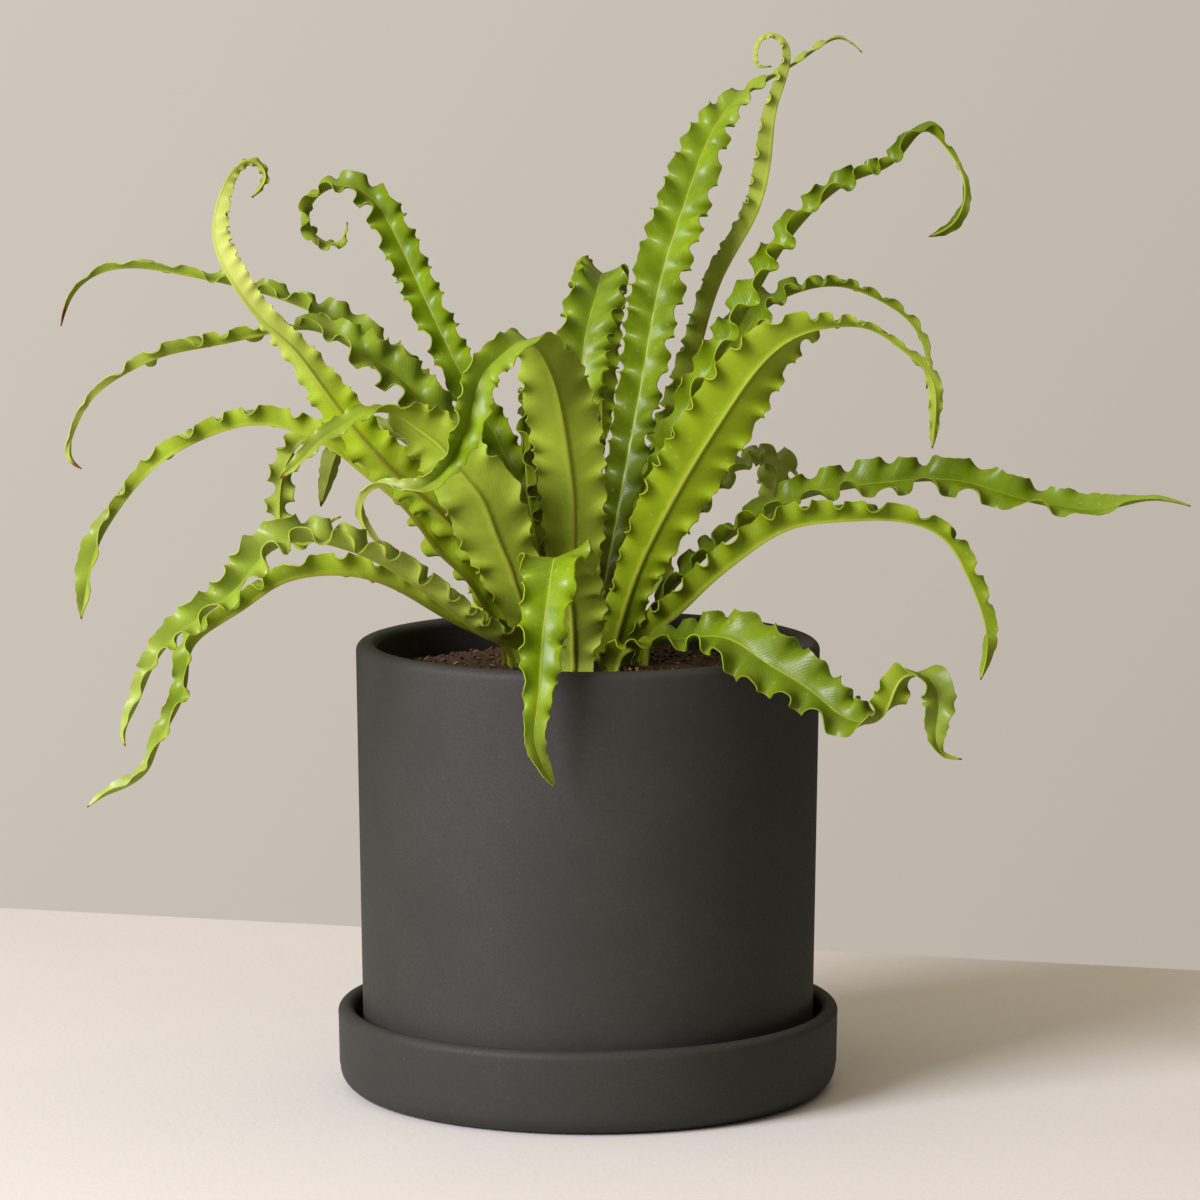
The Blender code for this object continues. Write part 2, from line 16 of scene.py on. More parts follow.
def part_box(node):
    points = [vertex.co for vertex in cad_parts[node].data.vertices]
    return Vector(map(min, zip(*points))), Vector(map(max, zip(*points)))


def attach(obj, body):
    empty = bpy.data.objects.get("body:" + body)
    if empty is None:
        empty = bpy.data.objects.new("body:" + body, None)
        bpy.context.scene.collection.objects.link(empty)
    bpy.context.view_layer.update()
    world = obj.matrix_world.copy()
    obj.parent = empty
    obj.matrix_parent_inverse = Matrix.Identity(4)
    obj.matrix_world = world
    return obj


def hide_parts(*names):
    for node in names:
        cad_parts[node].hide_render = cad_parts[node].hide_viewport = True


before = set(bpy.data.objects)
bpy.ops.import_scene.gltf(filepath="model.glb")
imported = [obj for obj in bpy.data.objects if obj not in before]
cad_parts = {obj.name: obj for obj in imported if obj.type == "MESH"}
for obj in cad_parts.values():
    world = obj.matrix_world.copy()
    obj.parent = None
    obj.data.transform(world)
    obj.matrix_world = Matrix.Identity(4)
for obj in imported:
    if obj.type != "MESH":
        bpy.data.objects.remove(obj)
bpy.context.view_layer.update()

bl_info = {
    "name": "Potted bird's nest fern",
    "version": (1, 0, 0),
    "blender": (4, 5, 0),
    "location": "3D View > Sidebar > Fern",
    "description": "Dresses the potted fern's frame with its fronds, soil, ceramics and studio",
    "category": "Object",
}

MM = 0.001
BODY = "root"

# The frame's own sizes, which the pieces are fitted to
SAUCER_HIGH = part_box("saucer")[1]
POT_LOW, POT_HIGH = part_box("pot")
SOIL_LOW, SOIL_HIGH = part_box("soil")
CROWN_LOW, CROWN_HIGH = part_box("crown")
SAUCER_RIM_RADIUS = SAUCER_HIGH.x
POT_RIM_RADIUS = POT_HIGH.x
SOIL_RADIUS = SOIL_HIGH.x
CROWN_RADIUS = (CROWN_HIGH.x - CROWN_LOW.x) / 2
CROWN_X = (CROWN_LOW.x + CROWN_HIGH.x) / 2
CROWN_Y = (CROWN_LOW.y + CROWN_HIGH.y) / 2

# Saucer and pot, where the frame's boxes don't tell
SAUCER_BASE_IN = 0.7 * MM  # how much narrower its foot is than its rim
SAUCER_FOOT_IN = 0.4 * MM  # how far its wall stands in from the rim, over the rounded foot
SAUCER_NECK_IN = 0.1 * MM  # and under the rounded rim
SAUCER_WALL = 6 * MM
SAUCER_FLOOR = 6 * MM
SAUCER_BASE_ROUND = 8 * MM
SAUCER_RIM_ROUND = 2.9 * MM
SAUCER_INNER_ROUND = 3 * MM
POT_BASE_IN = 2.1 * MM
POT_WALL = 7.4 * MM
POT_FLOOR = 8 * MM
POT_BASE_ROUND = 3 * MM
POT_RIM_ROUND = 3 * MM
POT_CORNER = 2 * MM  # the slanted corner between its inner wall and its floor
POT_RINGS = (0.02, 0.25, 0.5, 0.75, 0.98)  # where rings of points go round it, from foot to rim
DRAIN_RADIUS = 7 * MM
WALL_RING = 1.5 * MM  # from a rounding to the ring of points on the wall beside it
FLAT_RING = 2 * MM  # and to the ring on the flat face beside it
SAUCER_BASE_RING = 1 * MM  # the same, under the saucer
SAUCER_MIDDLE_RINGS = (0.5, 0.4)  # where rings go round its middle, underneath and on its floor
ARC_STEPS = 8  # faces along each rounding of a profile
TURNED_SHARP = math.radians(40)  # edges sharper than this stay sharp on a turned piece
MERGE_DISTANCE = 0.002 * MM

# Soil: a low mound of peat, and the bits of bark and grit on it
SOIL_EDGE_TOP = 148 * MM
MOUND_SPARE = 1.2 * MM  # how far the mound's middle lies under the node's top
MOUND_FALL = SOIL_HIGH.z - SOIL_EDGE_TOP - 1 * MM  # how much lower its edge is
LUMP_HEIGHT = 1.1 * MM
LUMP_SIZES = (9 * MM, 4 * MM)
SMALL_LUMPS = 0.5  # height of the small lumps beside the broad ones
MOUND_RINGS = np.linspace(0.97, 0.03, 30)  # where rings of points go round the mound, from its edge in
LEVEL_SLACK = 0.1 * MM  # points less than this under a level are taken to lie on it
GROUND_TONE = 0.2  # tone of the soil or crown under its bits or scales, from 0 for the darkest
# Crumbs, splinters and flakes: how many shapes of each, how finely divided, how wide and how thick
BIT_KINDS = ((6, 1, (0.7, 0.45)), (4, 1, (0.35, 0.3)), (3, 2, (0.6, 0.25)))
BIT_DENTS = (0.72, 1.15)  # how far each corner of a bit is pushed in or out
BIT_SMALLEST = 0.4 * MM
BIT_SPREAD = 1.1 * MM  # from the smallest to the largest bit
BIT_CROWDING = 2.5  # how strongly the small bits outnumber the large ones
BIT_REACH = 1.2  # how far a bit reaches from its middle, of its size
BIT_RISE = (-0.2, 0.5)  # how high a bit's middle lies over the soil, of its size
BIT_TILT = 0.7  # radians
SOIL_MARGIN = 0.3 * MM  # between the bits and the pot

# Crown
CROWN_DROP = 5 * MM  # how much lower its edge is than its middle
CROWN_SPARE = 1.6 * MM  # how far its middle lies under the node's top
CROWN_ROUGH = 1 * MM  # height of its lumps
CROWN_ROUGH_SIZE = 3.5 * MM
CROWN_RINGS = np.linspace(0.98, 0.04, 18)  # where rings of points go round its top, from its edge in
CROWN_MARGIN = 3 * MM  # between the scales and the crown's edge
SCALE_KINDS = 4
SCALE_TIP = 0.12  # width of its tip, of what the cone that it starts from has there
SCALE_FLAT = 0.3  # its thickness, of its width
SCALE_BOW = 0.35  # how far its tip bows outwards, of its width
SCALE_UNEVEN = 0.03  # how much its corners differ in height, of its length
SCALE_COUNT = 700
SCALE_LENGTHS = (2.2, 4.4)  # mm
SCALE_SLENDER = 0.42  # a scale's width, of its length
SCALE_TILT = 0.75  # radians
SCALE_SUNK = 1.4 * MM

# Stalks, in mm
SOCKET_FLOOR = 146  # where the stalks end in the crown
INNER, MIDDLE, OUTER = 8, 16, 26  # radii of the three circles of stalks
GAP = 0.3  # between a stalk's end and the floor of its socket
STALK_WIDTH = 7
STALK_STRAIGHT = 9.5  # how much of a stalk stands upright in the crown
FOOT_HEIGHTS = (0, 6, 20, 40, 60)  # over the sockets' floor
FOOT_HALF_WIDTHS = (2.8, 6.8, 8.4, 7.0, 0)  # the least half width of a blade at these heights
FOOT_SHARE = 0.3  # of a frond's length, past which it has no such least width
HIDDEN_FOOT = 0.5  # how wide the feet behind the crown's middle are, beside those before it
HIDDEN_RANGE = (-8, 2)  # where the feet narrow, from before the crown's middle to behind it

# Blades, in mm
LEAST_WIDTH = 1.2
FINE_STEPS = 3000  # points that a midrib's curve is read at before its rows are spaced evenly
TIP_ROUND = 60  # the blade is full width up to the last sixtieth of its length
TIP_BLUNT = 0.12  # square of the share of its width that it keeps at the very tip
RIB_TIP = 0.3  # half the midrib's width at the tip
RIB_GROWTH = 0.75  # and how much more that is at the foot
RIB_SINK = 0.2  # how far the midrib is sunk to the underside, of its extra thickness
RIB_COLUMNS = np.array([0, 0.55, 1])  # places across the rib, of its half width
BLADE_COLUMNS = np.array([0.13, 0.28, 0.44, 0.6, 0.75, 0.89, 1])  # from the rib's side to the edge
RIB_SWELL = np.array([1, 0.7, 0, 0, 0, 0, 0, 0, 0, 0])  # the rib's extra thickness at each of them
EDGE_THIN = 0.3  # how much thinner the blade is at its edge than beside its midrib
BLADE_SHARP = math.radians(55)
DRY_FADE = 0.4  # share of the dried tip in which the green turns brown
WEIGHT_DIGITS = 2  # the thickness is kept in hundredths of the greatest

# Ruffles, in mm. Each wander is made of waves of the given lengths along the frond
PLAIN_FOOT = 0.07  # share of the length in which the ruffles set in over the soil
PLAIN_START = 0.6  # from how far up the frond, of that share
PLAIN_TIP = 0.012  # share of the length that stays unruffled at the tip
NARROW_WAVE = 0.85  # share of the wave length where a frond is narrowest
LEAST_WAVE = 0.25  # the height of a wave where the blade has no width
HIGHEST_WAVE = 3.0  # before it is multiplied by the frond's own height
LENGTH_VARIES = 0.42  # how much longer or shorter than usual a wave may be
LENGTH_WANDER = (67, 41, 26)
HEIGHT_VARIES = 0.45  # and how much higher or lower
HEIGHT_WANDER = (47, 29, 17)
SWAY_WANDER = (61, 37, 24)
WAVE_LEAN = 0.3  # how far the waves lean towards the tip, of the distance from the midrib
CREST_BROAD = (0.1, 0.5)  # how much broader the crests are than the troughs
CREST_DENT = 0.04  # how far the edge is drawn in at the crests
TROUGH_DENT = 0.12  # and at the troughs
DRAWN_IN = 0.6  # how strongly the height of a wave draws the edge in
EDGE_RAGGED = 0.4  # how uneven the edge itself is
RAGGED_WIDTH = 5  # half the width of a blade from which its edge is uneven in full
RAGGED_WANDER = (5.3, 3.1, 8.9)
CURL = 0.058  # how far the lobes overhang, of the wave length
CURL_VARIES = 0.026  # more or less of it along the frond
CURL_WANDER = (39, 22)
CURL_FULL = 0.2  # a wave's height, of its length, from which its lobes overhang in full
BULGE = 0.12  # how much each half of the blade bulges up between its midrib and its edge

# Studio
FLOOR_EDGE_LEFT = (-0.247, 0.337)  # two points on the floor's straight back edge
FLOOR_EDGE_RIGHT = (0.242, 0.204)
# The floor is painted lighter round this spot and darker away from it: a painted pool of light
PAINTED_POOL_MIDDLE = (-0.42, -0.15, 0)
PAINTED_POOL_FADE = (0.75, 1.0)  # how far from there the floor darkens
FLOOR_REACH = 3.0  # how far the floor goes to each side
FLOOR_DEPTH = 4.0  # and forwards
CAMERA_PLACE = (0.0043, -1.9402, 0.4303)
CAMERA_TILT = 82.5  # degrees from looking straight down
SENSOR_WIDTH = 36  # mm
LIGHT_TARGET = Vector((0, 0, 0.16))
KEY_BEARING = 221  # degrees, where the key light stands, from +X
KEY_HEIGHT = 25  # degrees over the floor
KEY_DISTANCE = 2.2
KEY_SIZE = 1.0
KEY_COLOUR = (0.91, 0.91, 1.0)
SIDE_FROM = (0.8, 0.6)  # the side fill comes from the opposite of this direction
BACK_SHARE = 0.1  # strength of the fill from behind beside that from above
EVEN_SHARE = 0.03  # and of the fill from all round
# The backdrop is painted darker to the right and downwards: painted shade on the wall behind
PAINTED_SHADE_ACROSS = 0.62  # how much the backdrop darkens to the right
PAINTED_SHADE_DOWN = 0.38  # and how much it darkens downwards
PAINTED_SHADE_RIGHTWARDS = (-0.3, 0.3)  # from where to where it does so, by the direction looked in
PAINTED_SHADE_DOWNWARDS = (0.2, -0.4)

# A frond's midrib passes through listed points: x, y, z and the blade's width in mm, then the
# blade's twist in degrees. With no twist the upper face looks to the rosette's axis as the frond
# rises, and up as it arches out. The fold is how far each half of the blade is raised, in degrees.
Frond = namedtuple("Frond", "name ring bearing fold midrib")

FRONDS = (
    Frond("frond_tall_1", INNER, 50, 18, (
        (4, 7, 170, 9, 25), (14, 17, 222, 16, 25), (20, 27, 254, 19, 25), (26, 38, 285, 22, 25),
        (37, 50, 319, 21, 25), (49, 62, 344, 15, 15), (65, 72, 356, 8, -15), (80, 78, 365, 6, -20),
        (92, 80, 371, 4, -20), (100, 80, 366, 1.5, -20))),
    Frond("frond_tall_2", MIDDLE, 60, 50, (
        (9, 19, 178, 9, -75), (27, 36, 222, 17, -75), (39, 48, 256, 15, -75), (49, 54, 287, 13, -75),
        (61, 56, 309, 12, -70), (66, 54, 331, 11.5, -65), (68, 50, 348, 9, -60), (72, 50, 361, 7, -60),
        (71, 50, 371, 4.5, -60), (65, 50, 373.8, 3.5, -60), (60, 50, 369, 3, -60), (61, 50, 362, 2.5, -60),
        (66, 50, 362, 1.5, -60))),
    Frond("frond_right_1", MIDDLE, 0, 35, (
        (12, -1, 175, 8, 50), (22, 3, 207, 12, 50), (35, 8, 241, 15, 40), (50, 12, 266, 17, 30),
        (70, 18, 300, 16, 30), (82, 20, 314, 14, 25), (95, 22, 323, 12, 30), (110, 24, 330, 10, 25),
        (120, 26, 340, 10, 10), (129, 24, 332, 4, -10), (134, 20, 320, 4, -50), (130, 16, 308, 5.5, -85),
        (121, 14, 303, 1.5, -90))),
    Frond("frond_right_2", MIDDLE, 34, 25, (
        (14, 9, 173, 8, 30), (29, 18, 208, 13, 20), (42, 30, 239, 18, 20), (54, 44, 260, 20, 15),
        (64, 56, 274, 19, 10), (79, 60, 281, 14, -10), (92, 62, 282, 9.5, -20), (106, 62, 277, 7.5, -20),
        (118, 60, 268, 7, -30), (123, 58, 256, 5, -40), (123, 56, 245, 2, -40))),
    Frond("frond_right_3", MIDDLE, 325, 20, (
        (12, -16, 170, 11, -55), (18, -24, 189, 17, -60), (26, -32, 207, 22, -55),
        (37, -40, 228, 26, -55), (49, -47, 248, 26, -50), (62, -53, 266, 24, -40),
        (73, -56, 274, 19, -25), (85, -57, 277, 14, 0), (97, -56, 276, 7, 15),
        (109, -54, 268, 6, 0), (118, -52, 259, 6, -30), (120, -50, 247, 5, -70),
        (119, -48, 234, 1.5, -75))),
    Frond("frond_right_4", OUTER, 15, 25, (
        (22, 6, 165, 9, -10), (34, 11, 182, 14, -5), (51, 15, 196, 17, 0), (73, 19, 208, 18, 10),
        (94, 20, 213, 20, 30), (112, 20, 215, 19, 40), (133, 20, 215, 17.5, 45), (151, 19, 210, 16, 45),
        (169, 18, 206, 15, 42), (187, 16, 206, 11, 30), (201, 14, 209, 6, 0), (215, 12, 207, 1.5, 0))),
    Frond("frond_right_5", OUTER, 342, 45, (
        (22, -13, 163, 10, -30), (31, -18, 172, 14, -30), (42, -22, 183, 17, -30),
        (56, -26, 195, 18, -35), (71, -28, 204, 18, -30), (91, -30, 207, 15, -25),
        (109, -31, 207, 13, -15), (124, -31, 201, 12, -15), (133, -30, 187, 11, -15),
        (139, -28, 171, 9, -30), (140, -27, 159, 6, -80), (138, -26, 150, 1.5, -100))),
    Frond("frond_right_6", OUTER, 46, 20, (
        (17, 21, 168, 9, -45), (29, 31, 187, 13, -35), (41, 44, 204, 16, -15), (53, 57, 215, 18, 0),
        (62, 68, 218, 18, -5), (69, 78, 214, 17, -10), (69, 86, 205, 14, -15), (68, 92, 196, 9, -15),
        (67, 95, 189, 2, -15))),
    Frond("frond_front_1", OUTER, 268, 15, (
        (-5, -32, 163, 18, 0), (-6, -44, 181, 25, 0), (-9, -58, 193, 26, 0), (-11, -68, 198, 26, 0),
        (-13, -80, 189, 20, -5), (-15, -87, 176, 18, -15), (-16, -92, 164, 15, -20),
        (-17, -95, 151, 10, -20), (-18, -96, 140, 8, -40), (-15, -95, 130, 6, -60),
        (-11, -94, 123, 1.5, -70))),
    Frond("frond_front_2", OUTER, 305, 20, (
        (14, -29, 161, 12, -5), (22, -39, 164, 17, 10), (35, -52, 168, 20, 22),
        (49, -62, 169, 24, 35), (62, -71, 162, 26, 45), (76, -78, 154, 22, 45),
        (89, -85, 145, 18, 40), (98, -88, 145, 14, 0), (103, -90, 152, 13, -60),
        (108, -92, 161, 12, -50), (116, -95, 160, 13, 30), (119, -96, 152, 12, 60),
        (118, -96, 141, 7, 60), (120, -96, 135, 3, 20), (127, -96, 133, 1.5, 0))),
    Frond("frond_front_3", INNER, 275, 15, (
        (-4, -13, 169, 12, -5), (-5, -18, 192, 20, -5), (-5, -22, 211, 24, -5), (-7, -26, 231, 26, -5),
        (-10, -31, 249, 26, 0), (-14, -38, 262, 22, -5), (-21, -47, 271, 15, -45),
        (-29, -54, 267, 14, -85), (-36, -58, 260, 15, -95), (-40, -60, 248, 16, -105),
        (-44, -61, 236, 14, -105), (-51, -62, 226, 10, -95), (-59, -62, 221, 9, -55),
        (-70, -59, 222, 6, -20), (-75, -57, 220, 5, 0), (-78, -54, 213, 4.5, 20),
        (-76, -51, 206, 4, 60), (-70, -48, 198, 1.5, 70))),
    Frond("frond_back_1", INNER, 115, 20, (
        (-8, 9, 167, 8, -25), (-7, 19, 209, 12, -25), (-3, 29, 244, 19, -25), (-1, 36, 265, 22, -25),
        (3, 48, 280, 22, -25), (5, 64, 286, 20, -25), (6, 84, 280, 17, -25), (6, 100, 263, 14, -25),
        (5, 111, 243, 12, -25), (5, 116, 228, 8, -25), (5, 118, 217, 1.5, -25))),
    Frond("frond_back_2", INNER, 190, 35, (
        (-13, -2, 166, 7, 0), (-16, 2, 185, 9, -20), (-20, 7, 206, 12, -30), (-22, 15, 226, 13, -45),
        (-22, 28, 238, 13, -60), (-22, 44, 241, 12, -60), (-23, 60, 235, 11, -60),
        (-24, 73, 220, 8, -60), (-25, 80, 204, 2, -60))),
    Frond("frond_back_3", OUTER, 76, 30, (
        (6, 34, 172, 10, 0), (12, 60, 202, 17, 0), (18, 95, 214, 19, 0), (24, 130, 200, 16, 0),
        (28, 153, 166, 10, 0), (30, 166, 126, 1.5, 0))),
    Frond("frond_back_4", OUTER, 108, 30, (
        (-15, 33, 168, 10, 0), (-23, 58, 184, 16, 0), (-32, 90, 188, 18, 0), (-38, 120, 172, 15, 0),
        (-41, 141, 142, 10, 0), (-42, 150, 110, 1.5, 0))),
    Frond("frond_back_5", MIDDLE, 92, 30, (
        (-4, 24, 180, 10, 0), (-3, 46, 210, 16, 0), (-2, 75, 222, 18, 0), (-2, 104, 208, 16, 0),
        (-4, 128, 174, 10, 0), (-6, 141, 135, 1.5, 0))),
    Frond("frond_left_1", MIDDLE, 125, 20, (
        (-14, 13, 166, 8, -15), (-18, 19, 187, 11, -15), (-25, 25, 212, 14, -20),
        (-35, 31, 233, 15, -25), (-45, 36, 251, 15, -35), (-58, 42, 277, 15, -35),
        (-71, 48, 304, 15, -30), (-79, 50, 315, 14, -10), (-89, 50, 319, 13, 20),
        (-98, 50, 315, 12, 45), (-101, 50, 308, 11, 55), (-97, 50, 300, 9, 55), (-90, 50, 299, 6, 55),
        (-87, 50, 306, 1.5, 55))),
    Frond("frond_left_2", MIDDLE, 155, 30, (
        (-21, 7, 167, 8, -5), (-32, 14, 194, 13, -15), (-44, 24, 218, 16, -20), (-57, 33, 239, 18, -20),
        (-70, 40, 254, 18, -25), (-84, 44, 266, 17, -25), (-99, 46, 274, 15, -15),
        (-122, 47, 282, 11, 5), (-149, 45, 288, 8, 10), (-163, 44, 290, 8, 20), (-176, 43, 288, 6, 30),
        (-185, 42, 281, 4.5, 30), (-190, 41, 269, 1.5, 30))),
    Frond("frond_left_3", MIDDLE, 180, 30, (
        (-21, 0, 168, 8, -30), (-30, 4, 189, 12, -40), (-38, 8, 210, 16, -50), (-47, 12, 229, 19, -60),
        (-58, 14, 243, 20, -60), (-70, 14, 255, 20, -60), (-84, 12, 264, 18, -50),
        (-97, 14, 270, 14, -15), (-107, 13, 270, 11, 10), (-133, 9, 265, 11, 15),
        (-149, 4, 262, 10, 15), (-163, 0, 256, 7, 15), (-175, -2, 247, 5, 20),
        (-182, -3, 234, 4, 30), (-183, -3, 226, 2.5, 60), (-179, -3, 222, 1.5, 60))),
    Frond("frond_left_4", MIDDLE, 208, 25, (
        (-22, -15, 170, 9, 45), (-31, -19, 184, 14, 50), (-41, -23, 197, 17, 50),
        (-50, -27, 208, 18, 55), (-62, -29, 219, 19, 60), (-73, -28, 229, 19, 65),
        (-83, -25, 240, 18, 70), (-94, -20, 254, 16, 75), (-104, -14, 266, 14, 70),
        (-116, -8, 276, 14, 50), (-126, -2, 289, 14, 22), (-132, 4, 303, 13, 12),
        (-130, 8, 318, 9, 20), (-124, 10, 328, 5, 60), (-118, 11, 330, 4.5, 90),
        (-114, 11, 325, 4, 100), (-119, 11, 317, 1.5, 100))),
    Frond("frond_left_5", MIDDLE, 240, 15, (
        (-15, -20, 164, 9, 45), (-22, -27, 175, 16, 40), (-27, -32, 190, 22, 40),
        (-32, -36, 203, 27, 40), (-37, -40, 216, 28, 35), (-44, -42, 225, 26, 35),
        (-51, -42, 234, 24, 30), (-60, -42, 241, 20, 15), (-68, -44, 246, 13, -20),
        (-76, -47, 246, 10, -55), (-84, -50, 242, 9, -75), (-92, -52, 237, 8, -85),
        (-99, -53, 230, 6, -85), (-106, -53, 224, 1.5, -85))),
    Frond("frond_left_6", OUTER, 186, 45, (
        (-31, -7, 163, 9, 35), (-36, -9, 173, 13, 60), (-43, -11, 184, 16, 60),
        (-52, -12, 193, 18, 60), (-61, -12, 205, 18, 55), (-70, -10, 214, 17, 50),
        (-79, -8, 221, 16, 40), (-91, -6, 230, 15, 30), (-114, -3, 238, 14, 25),
        (-128, -2, 236, 13, 20), (-142, -1, 230, 12, 15), (-155, 0, 221, 10, 15),
        (-168, 0, 205, 9, -10), (-174, 0, 194, 12, -55), (-178, 0, 180, 9, -70),
        (-180, 0, 168, 2, -70))),
    Frond("frond_left_7", OUTER, 163, 30, (
        (-30, 6, 163, 8, 10), (-42, 10, 182, 12, 5), (-56, 16, 202, 15, 5), (-71, 22, 217, 16, 5),
        (-85, 26, 228, 16, 0), (-98, 28, 231, 14, 25), (-106, 29, 225, 12, 55), (-110, 29, 215, 12, 80),
        (-111, 29, 204, 11, 85), (-109, 29, 195, 8, 95), (-102, 30, 191, 5, 110), (-95, 31, 197, 3, 120),
        (-89, 31, 201, 1.5, 120))),
    Frond("frond_left_8", OUTER, 138, 25, (
        (-24, 16, 165, 8, 15), (-35, 24, 188, 12, 10), (-48, 34, 207, 14, 10), (-61, 42, 222, 15, 5),
        (-74, 46, 231, 14, 10), (-84, 48, 231, 12, 30), (-91, 48, 223, 10, 65), (-94, 47, 214, 8, 75),
        (-97, 46, 203, 1.5, 75))),
    Frond("frond_left_9", OUTER, 228, 40, (
        (-24, -25, 161, 9, 10), (-34, -34, 166, 13, -5), (-46, -44, 176, 16, -15),
        (-59, -54, 187, 18, -15), (-73, -62, 197, 18, -20), (-87, -68, 203, 18, -30),
        (-98, -72, 205, 19, -30), (-109, -75, 201, 20, -45), (-117, -77, 192, 18, -55),
        (-127, -79, 183, 16, -55), (-139, -80, 174, 14, -45), (-148, -80, 163, 11, -40),
        (-154, -80, 149, 8, -30), (-158, -80, 140, 4, -25), (-158, -80, 135, 1.5, -25))),
    Frond("frond_left_10", OUTER, 207, 40, (
        (-30, -16, 161, 9, 25), (-40, -22, 167, 12, 20), (-52, -28, 174, 15, 20),
        (-66, -33, 183, 16, 25), (-79, -36, 188, 16, 30), (-93, -38, 189, 15, 25),
        (-107, -40, 186, 14, 15), (-119, -41, 178, 13, 5), (-130, -42, 171, 13, -5),
        (-138, -42, 163, 12, -30), (-140, -42, 150, 11, -45), (-150, -42, 129, 8, -30),
        (-154, -41, 120, 7, -15), (-162, -40, 114, 8, -15), (-169, -40, 111, 5, -15),
        (-175, -40, 107, 1.5, -20))),
)
